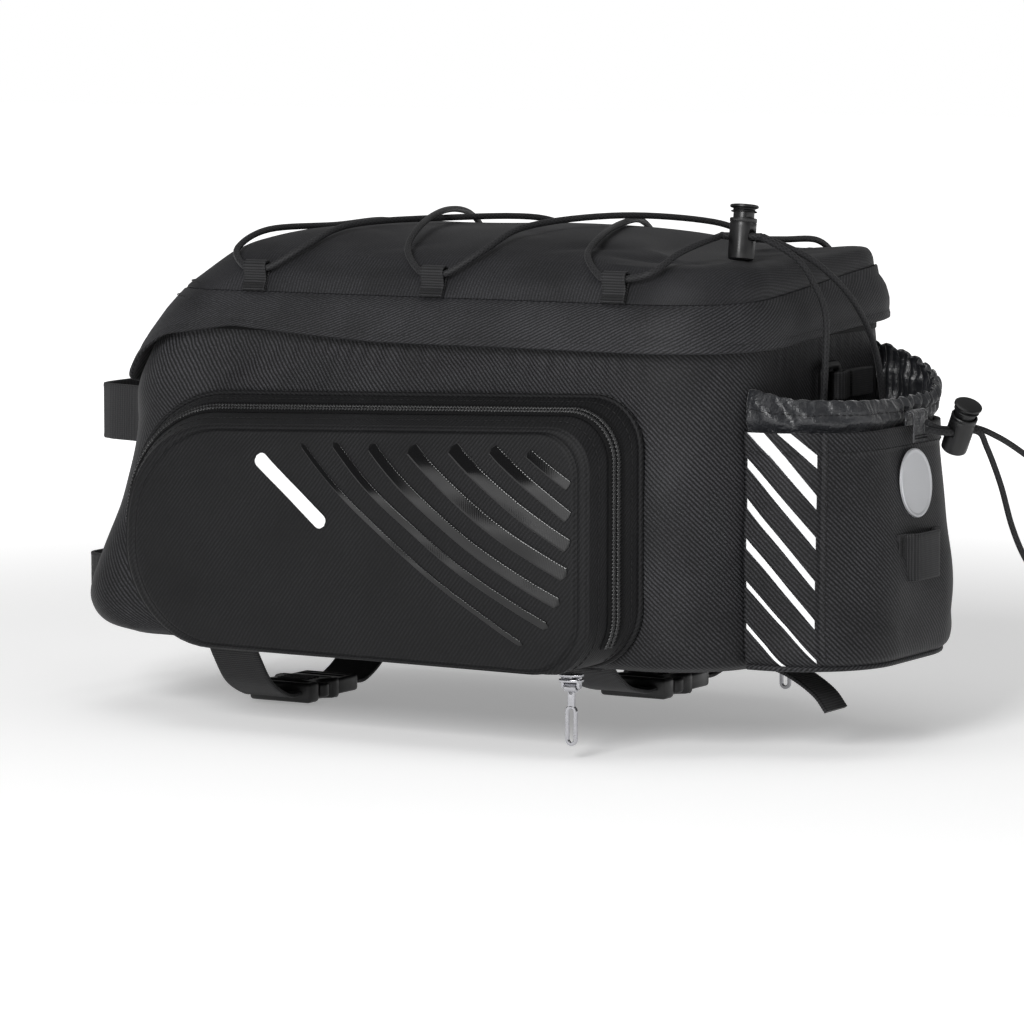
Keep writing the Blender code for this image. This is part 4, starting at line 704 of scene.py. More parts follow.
def panel_loop(spread):
    """Panel's edge in X and Z, spread at front, top and rear: four corners, each an arc that touches
    both of its straight runs."""
    spots = []
    for x, z, radius in PANEL:
        reach = POCKET_REAR if x > 0 else POCKET_FRONT
        rise = spread if z > 0.5 else 0.25 * spread
        spots.append((x * reach + math.copysign(spread, x), z * POCKET_TOP + rise,
                      radius * POCKET_TOP + 0.3 * spread))
    spots = np.array(spots)
    here, radius = spots[:, :2], spots[:, 2]
    back, ahead = unit(np.roll(here, 1, 0) - here), unit(np.roll(here, -1, 0) - here)
    half = np.arccos((back * ahead).sum(1)) / 2
    centre = here + unit(back + ahead) * (radius / np.sin(half))[:, None]
    first = here + back * (radius / np.tan(half))[:, None] - centre
    turn = (math.pi - 2 * half)[:, None] * np.linspace(0.0, 1.0, ARC + 1)[None]
    arcs = np.stack((first[:, :1] * np.cos(turn) - first[:, 1:] * np.sin(turn),
                     first[:, :1] * np.sin(turn) + first[:, 1:] * np.cos(turn)), 2) + centre[:, None]
    line = []
    for index, count in enumerate(RUNS):
        share = np.linspace(0.0, 1.0, count + 2)[1:-1, None]
        line += [arcs[index], arcs[index, -1:] + (arcs[(index + 1) % 4, :1] - arcs[index, -1:]) * share]
    return np.concatenate(line)


panel_edge = panel_loop(0.0)
edge_arm = panel_edge - PANEL_MIDDLE
edge_angle = np.arctan2(edge_arm[:, 1], edge_arm[:, 0])
edge_order = np.argsort(edge_angle)
edge_angle, edge_reach = edge_angle[edge_order], np.linalg.norm(edge_arm, axis=1)[edge_order]
PANEL_UNEVEN = (
    (0.35, 1.0, 0.0, 0.7, 74, 0.3), (0.28, 0.8, 0.0, -1.0, 49, 2.2), (0.15, 0.2, 0.0, 1.0, 23, 1.0))
PANEL_CREASES = (
    ((-104, 14), (-78, 40), 5.0, -0.7), ((-112, 34), (-92, 60), 6.0, 0.5), ((70, 4), (92, 30), 4.0, -0.5),
    ((40, 88), (84, 92), 3.0, -0.35), ((-60, 84), (-20, 90), 4.0, -0.35), ((-40, 6), (20, 12), 4.0, -0.4))


def panel_depth(flat):
    """How far the left panel stands out: crown x (1 - s ** 3.5), s the share of the way from the
    middle to the edge, with a sewn groove at s = 0.955, soft waves and creases."""
    arm = flat - PANEL_MIDDLE
    edge = np.interp(np.arctan2(arm[..., 1], arm[..., 0]), edge_angle, edge_reach, period=2 * math.pi)
    share = np.clip(np.linalg.norm(arm, axis=-1) / edge, 0.0, 1.0)
    crown = POCKET_CROWN * (1.0 - share ** 3.5)
    groove = -0.9 * MM * np.exp(-((share - 0.955) / 0.009) ** 2)
    calm = smooth_step((0.93 - share) / 0.2)
    solid = np.stack((flat[..., 0], np.zeros(flat.shape[:-1]), flat[..., 1]), -1)
    return HALF + GAP + POCKET_DEPTH + crown + groove + calm * (waves(solid, PANEL_UNEVEN)
                                                                + creased(flat, PANEL_CREASES))


def gusset(depth):
    """Ring of the left gusset at a depth share: it leans in as it comes out from the tub."""
    spread = np.interp(depth, (0.0, 0.45, 0.90, 1.0), (1.0, 0.55, 0.10, 0.0)) * POCKET_LEAN
    flat = panel_loop(spread)
    return np.stack((flat[:, 0], np.full(len(flat), -(HALF + GAP + depth * POCKET_DEPTH)),
                     np.maximum(flat[:, 1], GAP)), 1)


gusset_rings = [gusset(depth) for depth in np.linspace(0.0, 0.965, 20)]
sizes = np.concatenate((np.linspace(0.997, 0.90, 26), np.linspace(0.885, 0.02, 44)))
face_flat = PANEL_MIDDLE + edge_arm * sizes[:, None, None]
face_y = -panel_depth(face_flat)
roll = np.interp(sizes, (0.90, 0.965, 0.985, 0.997), (0.0, 0.0, 0.25, 1.0))[:, None] ** 1.5
face_y = face_y + roll * 0.9 * MM
face_grid = np.stack((face_flat[..., 0], face_y, np.maximum(face_flat[..., 1], GAP)), 2)
pocket_grid = np.concatenate((np.stack(gusset_rings), face_grid))
pocket_uv = pocket_grid[..., [0, 2]].copy()
pocket_uv[:20] += (pocket_grid[:20, :, 1:2] + HALF + POCKET_DEPTH) * unit(edge_arm)[None]
# The panel's copy of the twill has a much darker highlight colour than the tub's: painted shade, because the
# panel faces a little downwards. The welts use it too.
panel_twill_painted_shade = twill("panel_twill_painted_shade", -38.0, 0.9, "#19191b")
MIRROR = np.array((1.0, -1.0, 1.0))

zip_first, zip_last = 9, len(panel_edge) - RUNS[3] - ARC + 5
slant_low, slant_high = gusset(0.36), gusset(0.64)
zip_middle = (slant_low + slant_high) / 2
zip_across = unit(slant_high - slant_low)
zip_lift = unit(np.cross(np.roll(zip_middle, -1, 0) - np.roll(zip_middle, 1, 0), zip_across))
zip_lift *= np.sign((zip_lift * (zip_middle - zip_middle.mean(0))).sum())
zip_all = np.concatenate((zip_middle, zip_across, zip_lift), 1)[zip_first:zip_last]
zip_even = even(zip_all, 0.32 * MM)
zip_coarse = even(zip_all, 2.0 * MM)
TAPE = ((-4.0, 0.25), (-4.0, 0.75), (-1.4, 0.85), (1.4, 0.85), (4.0, 0.75), (4.0, 0.25))
welt_line = gusset(0.03)
welt_line = welt_line[welt_line[:, 2] > 2.0 * MM] + (0.0, -0.6 * MM, 0.0)
for side, mirror in (("left", np.ones(3)), ("right", MIRROR)):
    shell = surface("pocket_%s" % side, pocket_grid * mirror, ends=(False, True), uv=pocket_uv)
    dress(thick(shell, 2.0 * MM), panel_twill_painted_shade, nodes=["side_pocket_%s" % side])
    tape = surface("side_zip_tape_%s" % side,
                   carried(*np.split(zip_coarse, 3, 1), np.array(TAPE) * MM) * mirror, ends=(True, True))
    dress(tape, tape_twill, nodes=["side_zip_%s" % side])
    lifted = zip_even[:, :3] + zip_even[:, 6:] * 0.5 * MM
    teeth = [surface("side_zip_teeth", grid * mirror, ends=(True, True))
             for grid in coil(lifted, unit(zip_even[:, 3:6]), unit(zip_even[:, 6:]), 1.6 * MM, 4.4 * MM,
                              1.0 * MM)]
    dress(joined("side_zip_coil_%s" % side, teeth), nylon_coil)
    welt_start = int(np.argmax(np.linalg.norm(np.diff(welt_line, axis=0), axis=1))) + 1
    welt = surface("pocket_welt_%s" % side,
                   round_cord(np.roll(welt_line, -welt_start, 0) * mirror, 2.6 * MM, 8), ends=(True, True))
    dress(welt, panel_twill_painted_shade)
    for label, depth in (("outer", 0.20), ("inner", 0.80)):
        row = gusset(depth)[zip_first - 4:zip_last + 3] + zip_lift[zip_first - 4:zip_last + 3] * 0.15 * MM
        stitched("pocket_%s_stitches_%s" % (label, side), row * mirror,
                 zip_lift[zip_first - 4:zip_last + 3] * mirror)


# Prints on the side pocket. A short slanting bar of reflective film, and bands of glossy black print
# that curve down over the rear of the panel. All are heat pressed. They stand off more than real
# film does, so that the twill's ribs don't break through.
PRINT_LIFT = 0.3 * MM


def pressed(name, spine, width, rounded):
    """A film along a line in X and Z on the left panel: point = spine + normal x width x w. Its ends
    are rounded."""
    way = unit(np.gradient(spine, axis=0))
    across = np.stack((-way[:, 1], way[:, 0]), 1)
    length = length_along(spine)
    ends = np.clip(np.minimum(length, length[-1] - length) / rounded, 0.0, 1.0)
    shape = np.sqrt(np.clip(1.0 - (1.0 - ends) ** 2, 0.0004, 1.0))
    w = np.linspace(-0.5, 0.5, 9)
    flat = spine[:, None] + across[:, None] * (w[None] * (width * shape)[:, None])[..., None]
    grid = np.stack((flat[..., 0], -panel_depth(flat) - PRINT_LIFT, flat[..., 1]), 2)
    return surface(name, grid, ring=False, outward=(0.0, -1.0, 0.0))


film, film_tree, film_shader = blank("reflective_film", "#f4f5f6", 0.35, Specular_IOR_Level=0.6)
bead = add(film_tree, "ShaderNodeTexVoronoi", {}, {
    "Vector": add(film_tree, "ShaderNodeTexCoord").outputs["Object"], "Scale": 1600.0})
bumped(film_tree, film_shader, bead.outputs["Distance"], 0.15, 0.0001)
gloss, gloss_tree, gloss_shader = blank("glossy_print", "#020203", 0.13, Specular_IOR_Level=0.5)
weave = ridges(gloss_tree, add(gloss_tree, "ShaderNodeUVMap", {"uv_map": "cloth"}).outputs["UV"], 50.0,
               1.0 * MM)
bumped(gloss_tree, gloss_shader, weave, 0.3, 0.00012)
bar_spine = np.linspace((-51.3, 85.0), (-16.6, 56.9), 60) * MM
bar = pressed("reflective_bar", bar_spine, 6.2 * MM, rounded=3.0 * MM)
dress(thick(bar, 0.1 * MM, inwards=False), film)
BANDS = (
    ((-30, 91), (12, 48), (78, 12), 2.2), ((-14, 92), (26, 50), (90, 20), 3.6),
    ((4, 92), (40, 55), (95, 30), 5.0), ((24, 92), (56, 62), (98, 42), 6.2),
    ((44, 93), (70, 70), (99, 54), 6.2), ((63, 93), (82, 78), (99, 66), 5.4),
    ((80, 92), (90, 85), (99, 79), 4.4))
for number, (start, middle, end, width) in enumerate(BANDS, 1):
    share = np.linspace(0.0, 1.0, 70)[:, None]
    start, middle, end = (np.array(spot) * MM for spot in (start, middle, end))
    spine = start * (1 - share) ** 2 + 2 * middle * share * (1 - share) + end * share ** 2
    band = pressed("glossy_band_%d" % number, spine, width * MM, rounded=0.5 * MM)
    dress(thick(band, 0.08 * MM, inwards=False), gloss)


# Cord loops. Six folded tabs of 11 mm webbing, tacked into the lid's seam, with the cord through their
# fold.
def ribbon(name, line, across, width, thickness, nodes=(), finish=None):
    """Woven strap along the line of its middle. It swells once in each weft rib, and its selvedges
    are rounded."""
    spots = even(np.asarray(line, float), WEFT / 4)
    side, up = frames(spots, across)
    length = length_along(spots)
    swell = 1.0 + 0.09 * np.cos(2 * math.pi * length / WEFT)[:, None]
    profile = np.stack(np.broadcast_arrays(SELVEDGE[:, 0] * width, SELVEDGE[:, 1] * thickness * swell), 2)
    item = surface(name, carried(spots, side, up, profile), ends=(True, True))
    dress(item, finish or webbing, nodes=nodes)
    return item


def tacked(name, middle, along, across, out, width):
    """A bar tack: rows of close stitches across a strap."""
    for row in range(2):
        centre = np.asarray(middle) + np.asarray(along) * (row - 0.5) * 1.3 * MM
        line = centre + np.asarray(across) * np.linspace(-width / 2, width / 2, 30)[:, None]
        stitched("%s_%d" % (name, row + 1), line, np.asarray(out, float), pitch=1.1 * MM, length=1.5 * MM,
                 diameter=0.6 * MM)


def turned_to(grid, turn, place):
    """Grid turned by a matrix and moved."""
    return grid @ np.array(turn.to_3x3()).T + np.asarray(place)


WEFT = 1.2 * MM
SELVEDGE = np.array((
    (-0.500, 0.00), (-0.492, -0.34), (-0.46, -0.50), (-0.40, -0.42), (0.0, -0.42), (0.40, -0.42),
    (0.46, -0.50), (0.492, -0.34), (0.500, 0.00), (0.492, 0.34), (0.46, 0.50), (0.40, 0.42),
    (0.0, 0.42), (-0.40, 0.42), (-0.46, 0.50), (-0.492, 0.34)))
# Webbing: the tops of its weft ribs, and less so of its warp ribs, are painted lighter in the base colour, a
# painted highlight.
webbing, web_tree, web_shader = blank("webbing", "#0c0c0d", 0.6, Sheen_Weight=0.05, Specular_IOR_Level=0.3)
web_flat = add(web_tree, "ShaderNodeUVMap", {"uv_map": "cloth"}).outputs["UV"]
weft = ridges(web_tree, web_flat, 90.0, WEFT)
warp = ridges(web_tree, web_flat, 0.0, 0.9 * MM)
web_lit = product(web_tree, weft,
                  add(web_tree, "ShaderNodeMapRange", {}, {0: warp, 3: 0.55, 4: 1.0}).outputs[0])
web_paint = add(web_tree, "ShaderNodeMix", {"data_type": "RGBA"},
                {0: web_lit, 6: linear("#040405"), 7: linear("#2c2c2e")})
web_tree.links.new(web_paint.outputs[2], web_shader.inputs["Base Color"])
bumped(web_tree, web_shader, web_lit, 0.5, 0.0003)

LACE_PLACES = (-70.0, 18.5, 105.5)
LOOP_UP, LOOP_OUT = np.array((0.0, 0.4033, 0.9151)), np.array((0.0, -0.9151, 0.4033))
bend = np.radians(np.linspace(180.0, 0.0, 25))
loop_path = np.concatenate((
    [(-2.2, 0.80), (2.9, 0.80)], np.stack((8.15 + 2.35 * np.sin(bend), 3.15 + 2.35 * np.cos(bend)), 1),
    [(6.6, 4.9), (4.8, 3.4), (2.9, 2.15), (-2.2, 2.1)])) * MM
for number, place_x in enumerate(LACE_PLACES, 1):
    foot = np.array((place_x, -84.6, 154.5)) * MM
    left_path = foot + LOOP_UP * loop_path[:, :1] + LOOP_OUT * loop_path[:, 1:]
    for side, mirror in (("left", np.ones(3)), ("right", MIRROR)):
        label = "%s_%d" % (side, number)
        ribbon("tacked_loop_" + label, left_path * mirror, (1.0, 0.0, 0.0), 11 * MM, 1.0 * MM,
               nodes=["cord_loop_" + label])
        tacked("loop_tack_" + label, (foot - LOOP_UP * 0.4 * MM + LOOP_OUT * 2.65 * MM) * mirror,
               LOOP_UP * mirror, (1.0, 0.0, 0.0), LOOP_OUT * mirror, 9.5 * MM)


# Cord locks. Each is an acetal cup with flutes for the fingers and a sprung plunger inside, and the
# cord's two strands pass through both.
def lathe(profile, sides=72, flutes=0.0, between=(0.0, 0.0)):
    """Solid turned about Z from radii and heights. Between two heights the radius dips in 12 flutes."""
    profile = np.asarray(profile, float) * MM
    angle = np.linspace(0.0, 2 * math.pi, sides, endpoint=False)
    low, high = between[0] * MM, between[1] * MM
    fluted = (profile[:, 1] > low) & (profile[:, 1] < high) & (profile[:, 0] > 5.2 * MM)
    radius = profile[:, :1] - flutes * MM * fluted[:, None] * (0.5 + 0.5 * np.cos(12 * angle))[None] ** 2
    grid = np.stack((radius * np.cos(angle), radius * np.sin(angle), np.repeat(profile[:, 1:], sides, 1)), 2)
    return grid


def plate(outline, low, high, edge):
    """Grid of a flat solid: its outline in X and Y, with edges rounded in three steps."""
    outline = np.asarray(outline, float) * MM
    ahead = unit(np.roll(outline, -1, 0) - np.roll(outline, 1, 0))
    inward = np.stack((-ahead[:, 1], ahead[:, 0]), 1)
    inward *= np.sign((inward * (outline.mean(0) - outline)).sum())
    turn = np.radians((0.0, 30.0, 60.0, 90.0))
    rings = [np.column_stack((outline + inward * edge * MM * (1 - math.sin(t)),
                              np.full(len(outline), (low + edge * (1 - math.cos(t))) * MM))) for t in turn]
    rings += [np.column_stack((ring[:, :2], np.full(len(outline), (low + high) * MM) - ring[:, 2]))
              for ring in rings[::-1]]
    return np.stack(rings)


def rounded(x, y, width, height, radius, steps=5):
    """Outline of a rounded rectangle about a middle."""
    corner = [(way_x * (width / 2 - radius) + radius * math.cos(t),
               way_y * (height / 2 - radius) + radius * math.sin(t))
              for way_x, way_y, start in ((1, 1, 0), (-1, 1, 90), (-1, -1, 180), (1, -1, 270))
              for t in np.radians(np.linspace(start, start + 90, steps + 1))]
    return np.array(corner) + (x, y)


def cut(item, grid):
    """Cuts a closed grid out of an object."""
    tool = surface("tool", grid, ends=(True, True))
    hole = item.modifiers.new("hole", "BOOLEAN")
    hole.operation, hole.solver, hole.object = "DIFFERENCE", "EXACT", tool
    bpy.context.view_layer.objects.active = item
    bpy.ops.object.modifier_apply(modifier="hole")
    bpy.data.objects.remove(tool)
    return item


moulded, mould_tree, mould_shader = blank("moulded_acetal", "#0f0f10", 0.36, Specular_IOR_Level=0.5)
mould_place = add(mould_tree, "ShaderNodeTexCoord").outputs["Object"]
grain = add(mould_tree, "ShaderNodeTexNoise", {}, {"Vector": mould_place, "Scale": 1800.0, "Detail": 2.0})
scuff = add(mould_tree, "ShaderNodeTexNoise", {}, {"Vector": mould_place, "Scale": 90.0, "Detail": 4.0})
mould_tree.links.new(add(mould_tree, "ShaderNodeMapRange", {}, {
    0: scuff.outputs["Fac"], 1: 0.35, 2: 0.7, 3: 0.28, 4: 0.5}).outputs[0], mould_shader.inputs["Roughness"])
bumped(mould_tree, mould_shader, grain.outputs["Fac"], 0.25, 0.00006)

BARREL = (
    (0.5, 1.5), (4.7, 1.5), (4.7, 17.0), (5.0, 17.5), (5.45, 17.5), (5.7, 17.2), (5.7, 16.2), (5.45, 15.8),
    (5.6, 15.4), (5.6, 14.0), (5.6, 11.0), (5.6, 8.0), (5.6, 5.0), (5.6, 2.2), (5.45, 0.7), (4.9, 0.15),
    (4.2, 0.0), (0.5, 0.0))
PLUNGER = (
    (0.5, 23.2), (4.9, 23.2), (5.6, 23.05), (6.0, 22.7), (6.0, 22.1), (5.6, 21.8), (4.7, 21.5), (4.5, 21.1),
    (4.8, 20.7), (5.4, 20.5), (5.5, 20.2), (5.2, 20.0), (4.4, 20.0), (4.4, 4.3), (4.1, 4.0), (0.5, 4.0))
LOCKS = (
    ("top", (141.5, -42.0, 169.5), Matrix.Rotation(math.radians(-8.0), 4, "X"), 2.8),
    ("bottle", (211.5, 17.5, 89.0),
     Matrix.Rotation(math.radians(58.0), 4, "Z") @ Matrix.Rotation(math.radians(30.0), 4, "X"), 2.6))
for label, place, turn, cord_size in LOCKS:
    place = np.array(place) * MM
    for part, profile, rise, body in (("barrel", BARREL, 0.0, "bag"),
                                      ("plunger", PLUNGER, 2.2, label + "_plunger")):
        piece = surface("%s_lock_%s_piece" % (label, part), turned_to(
            lathe(profile, flutes=0.06, between=(2.0, 15.0)), turn, place), ends=(True, True), sharp=35.0)
        outline = rounded(0.0, 10.0 + rise / 2, 2 * cord_size + 0.9, cord_size + 0.6 + rise, 1.4) * MM
        tool = np.stack([np.column_stack((np.full(len(outline), x * MM), outline)) for x in (-9.0, 9.0)])
        cut(piece, turned_to(tool, turn, place))
        dress(piece, moulded, body=body, nodes=["%s_lock_%s" % (label, part)])


# Bottle pocket. A deep cup of twill over foam on the rear wall, sewn from a front panel and two side
# panels. Its rim is hemmed, its floor is bound, and the left side panel has reflective print.
CUP_HEIGHT, CUP_DEPTH, CUP_HALF, CUP_RADIUS, CUP_WALL = 100.0 * MM, 51.5 * MM, 62.0 * MM, 41.0 * MM, 2.5 * MM
CUP = ((0.02, 0.90, 0.96), (0.08, 0.99, 0.99), (0.28, 1.00, 1.00), (0.60, 0.94, 1.00), (1.00, 0.87, 1.00))
CUP_UNEVEN = ((0.5, 1.0, 0.4, 0.4, 83, 0.2), (0.35, 0.3, 1.0, -0.8, 47, 1.1), (0.2, -1.0, 0.6, 0.9, 24, 2.0))
cup_rows = through(CUP, 9)
LEFT_SEAM = 33.0 * MM


def cup_length(height):
    """Length of the cup's U at a height, and of its first straight run, and its side and reach."""
    depth, width = (np.interp(height / CUP_HEIGHT, cup_rows[:, 0], cup_rows[:, k]) for k in (1, 2))
    side = width * CUP_HALF
    reach = REAR + GAP + depth * CUP_DEPTH - CUP_WALL
    start = REAR - 40 * MM + np.sqrt((40 * MM) ** 2 - (side - CUP_WALL - 45 * MM) ** 2) + GAP
    first = reach - CUP_RADIUS - start
    return 2 * (first + CUP_RADIUS * math.pi / 2 + side - CUP_RADIUS), first, side, reach


def cup_at(along, height, out=0.0):
    """Point of the cup's face: along its U from the left seam, at a height, moved out."""
    along, height, out = np.broadcast_arrays(along, height, out)
    total, first, side, reach = cup_length(height)
    other = along > total / 2
    way = np.where(other, total - along, along)
    angle = np.clip((way - first) / CUP_RADIUS, 0.0, math.pi / 2)
    straight = np.minimum(way - first, 0.0)
    rest = np.maximum(way - first - CUP_RADIUS * math.pi / 2, 0.0)
    x = reach - CUP_RADIUS + straight + (CUP_RADIUS + out) * np.sin(angle)
    y = CUP_RADIUS - side - (CUP_RADIUS + out) * np.cos(angle) + rest
    return np.stack((x, np.where(other, -y, y), height), -1)


def cup_face(along, height, out=0.0):
    """The cup's face with its seams, its hem, its waves and a few creases."""
    total = cup_length(height)[0]
    seams = sum(np.exp(-((along - place) / (0.8 * MM)) ** 2) for place in (LEFT_SEAM, total - LEFT_SEAM))
    hem = smooth_step((height - 90.5 * MM) / (0.8 * MM))
    flat = np.stack(np.broadcast_arrays(along, height), -1)
    calm = smooth_step((CUP_HEIGHT - height) / (12 * MM)) * smooth_step((height - 4 * MM) / (12 * MM))
    soft = waves(cup_at(along, height), CUP_UNEVEN) + creased(flat, CUP_CREASES)
    return cup_at(along, height, out + 0.45 * MM * hem - 0.7 * MM * seams + calm * soft)


CUP_CREASES = (
    ((40, 20), (58, 8), 4.0, -0.7), ((62, 30), (84, 14), 5.0, -0.6), ((44, 84), (60, 92), 3.5, -0.6),
    ((88, 88), (100, 78), 4.0, -0.5), ((118, 12), (150, 26), 5.0, -0.7), ((8, 10), (24, 22), 4.0, -0.4))
cup_share = np.linspace(0.0, 1.0, 260)
cup_levels = np.concatenate((np.linspace(2.0, 9.0, 10), np.linspace(10.0, 90.0, 64),
                             np.linspace(90.6, 100.0, 12))) * MM
cup_total = cup_length(cup_levels)[0]
cup_walls = cup_face(cup_share[None] * cup_total[:, None], np.repeat(cup_levels[:, None], 260, 1))
wall_edge = plan([FRONT], [REAR], [HALF], GAP)[0]
wall_edge = wall_edge[wall_edge[:, 0] > 0]
wall_edge = wall_edge[np.argsort(wall_edge[:, 1])]
floor_y = np.clip(cup_walls[0, :, 1], -58.0 * MM, 58.0 * MM)
floor_x = np.interp(floor_y, wall_edge[:, 1], wall_edge[:, 0])
floor_line = np.stack((floor_x, floor_y, cup_walls[0, :, 2]), 1)
cup_floor = floor_line + (cup_walls[0] - floor_line) * np.array((0.0, 0.4, 0.8, 0.97))[:, None, None]
cup_twill = twill("cup_twill", 45.0)
cup_grid = np.concatenate((cup_floor, cup_walls))
cup = surface("bottle_cup", cup_grid, ring=False)
dress(thick(cup, 2.5 * MM), cup_twill, nodes=["bottle_pocket"])
cup_edge = cup_at(cup_share * cup_total[0], 2.4 * MM, 0.4 * MM)
dress(surface("cup_binding", round_cord(cup_edge, 2.6 * MM, 10), ends=(True, True)), cup_twill)
for label in ("left", "right"):
    place = LEFT_SEAM + 2.2 * MM
    levels = np.linspace(4.0, 97.0, 40) * MM
    total = cup_length(levels)[0]
    along = total * 0 + place if label == "left" else total - place
    seam = cup_face(along, levels, 0.1 * MM)
    stitched("cup_stitches_" + label, seam, seam - cup_at(along, levels, -1 * MM))
rim_along = cup_share * cup_length(92.0 * MM)[0]
rim_stitch = cup_face(rim_along, np.full(260, 92.0 * MM), 0.1 * MM)
stitched("cup_rim_stitches", rim_stitch, rim_stitch - cup_at(rim_along, 92.0 * MM, -1 * MM))

STRIPES = (
    ((20.1, 100), (14.5, 100), (31.0, 91.1), (31.0, 85.7)),
    ((9.0, 100), (1.5, 100), (31.0, 74.6), (31.0, 68.8)),
    ((1.2, 89.1), (1.2, 85.3), (31.0, 57.3), (31.0, 52.3)),
    ((1.2, 72.5), (1.2, 68.4), (31.0, 39.2), (31.0, 35.4)),
    ((1.2, 56.0), (1.2, 51.8), (31.0, 23.1), (31.0, 19.3)),
    ((1.2, 38.2), (1.2, 35.7), (31.0, 6.6), (31.0, 5.0)),
    ((1.2, 20.7), (1.2, 18.6), (17.5, 3.4), (15.8, 3.4)))
STRIPE_ALONG = np.linspace(0.0, 34.0, 69) * MM
STRIPE_SEEN = cup_at(STRIPE_ALONG, 50 * MM)[:, :2] @ (0.866, 0.5)
for number, (top_first, low_first, top_last, low_last) in enumerate(STRIPES, 1):
    share, across = np.meshgrid(np.linspace(0.0, 1.0, 50), np.linspace(0.0, 1.0, 7), indexing="ij")
    share, across = share[..., None], across[..., None]
    corners = [np.array(spot) * MM for spot in (top_first, low_first, top_last, low_last)]
    first = corners[0] * (1 - across) + corners[1] * across
    last = corners[2] * (1 - across) + corners[3] * across
    spot = first * (1 - share) + last * share
    seen_first, seen_last = (np.interp(end[..., :1], STRIPE_ALONG, STRIPE_SEEN) for end in (first, last))
    spot[..., :1] = np.interp(seen_first * (1 - share) + seen_last * share, STRIPE_SEEN, STRIPE_ALONG)
    stripe = surface("reflective_stripe_%d" % number, cup_face(spot[..., 0], spot[..., 1], 0.3 * MM),
                     ring=False, outward=(0.3, -1.0, 0.0))
    dress(thick(stripe, 0.1 * MM, inwards=False), film)


# Collar. Thin silky nylon sewn inside the pocket's rim and gathered by a drawcord in the channel along
# its top, so that it stands in folds and a scalloped edge. It is highest at the right seam.
COLLAR = ((0.0, 1.5), (0.1, 1.15), (0.5, 0.95), (0.65, 1.05), (0.85, 1.9), (1.0, 2.55))
COLLAR_FOLDS = (
    ((0, 117), (16, 101), 3.0, 1.7), ((8, 119), (24, 101), 2.6, -2.0), ((17, 114), (36, 101), 3.0, 1.6),
    ((30, 114), (46, 103), 2.6, -1.7), ((44, 113), (62, 102), 3.0, 1.4), ((60, 112), (74, 101), 2.6, -1.5),
    ((76, 112), (84, 101), 2.4, 1.0), ((150, 118), (158, 102), 3.0, 1.8), ((164, 124), (160, 103), 2.6, -1.8),
    ((176, 128), (184, 103), 3.2, 1.6))
collar_share = np.linspace(0.0, 1.0, 430)
collar_total = float(cup_length(100.0 * MM)[0])
collar_along = collar_share * collar_total
scallop = np.abs(np.sin(math.pi * collar_along / (7.6 * MM) + 0.6 * np.sin(collar_along / (17 * MM))))
loose = 1.0 - 0.8 * smooth_step((0.56 - collar_share) / 0.12)
collar_top = (12.0 * averaged(COLLAR, collar_share, 0.03) - 1.0 * loose + 1.9 * scallop * loose) * MM
collar_rise = np.concatenate((np.linspace(-0.45, 0.0, 5), np.linspace(0.05, 1.0, 34)))
collar_level = 100.0 * MM + collar_rise[:, None] * np.where(collar_rise[:, None] < 0, 14 * MM,
                                                            collar_top[None])
flat = np.stack(np.broadcast_arrays(collar_along[None], collar_level), -1)
free = smooth_step(collar_rise / 0.35)[:, None]
pleat = 0.75 * np.sin(2 * math.pi * collar_along / (7.6 * MM) + 1.4 * np.sin(collar_along / (13 * MM)))
pleat = pleat + 0.45 * np.sin(2 * math.pi * collar_along / (3.7 * MM) + 2.0 * np.sin(collar_along / (9 * MM)))
gathered = free * (0.45 + 0.55 * collar_rise[:, None]) * (pleat * loose)[None] * MM
gathered = gathered + free * creased(flat, COLLAR_FOLDS)
inward = (1.0 - loose)[None] * smooth_step(collar_rise / 1.1)[:, None] * 3.0 * MM
channel = np.clip((collar_rise - 0.62) / 0.38, 0.0, 1.0)[:, None]
channel_swell = (1.5 * np.sqrt(np.maximum(1 - (2 * channel - 1) ** 2, 0.0)) * (channel > 0)) * MM
collar_out = -2.9 * MM + 2.4 * MM * free - inward + gathered - 1.5 * MM * channel
collar_out = collar_out + channel_swell * (0.2 + 0.8 * loose)
collar_grid = cup_at(np.repeat(collar_along[None], len(collar_rise), 0), np.full((1, 1), 100 * MM),
                     collar_out)
collar_grid[..., 2] = collar_level
silky, silk_tree, silk_shader = blank("silky_nylon", "#1f2023", 0.33, Sheen_Weight=0.35, Sheen_Roughness=0.3,
                                      Specular_IOR_Level=0.55)
silk_flat = add(silk_tree, "ShaderNodeUVMap", {"uv_map": "cloth"}).outputs["UV"]
silk_weave = add(silk_tree, "ShaderNodeMath", {"operation": "ADD"}, {
    0: ridges(silk_tree, silk_flat, 0.0, 0.6 * MM),
    1: ridges(silk_tree, silk_flat, 90.0, 0.6 * MM)}).outputs[0]
silk_crush = specks(silk_tree, silk_flat, 5.0 * MM, 4.0)
silk_fine = add(silk_tree, "ShaderNodeBump", {}, {
    "Strength": 0.25, "Distance": 0.00008, "Height": silk_weave})
silk_relief = add(silk_tree, "ShaderNodeBump", {}, {
    "Strength": 0.55, "Distance": 0.0018, "Height": silk_crush, "Normal": silk_fine.outputs[0]})
silk_tree.links.new(silk_relief.outputs[0], silk_shader.inputs["Normal"])
collar = surface("collar", collar_grid, ring=False)
dress(thick(collar, 1.0 * MM), silky, nodes=["pocket_collar"])
channel_row = collar_grid[22] + unit(collar_grid[22] - collar_grid[22].mean(0)) * 0.25 * MM
stitched("collar_channel_stitches", channel_row, collar_grid[22] - collar_grid[22].mean(0), pitch=2.8 * MM,
         length=2.0 * MM, diameter=0.45 * MM)

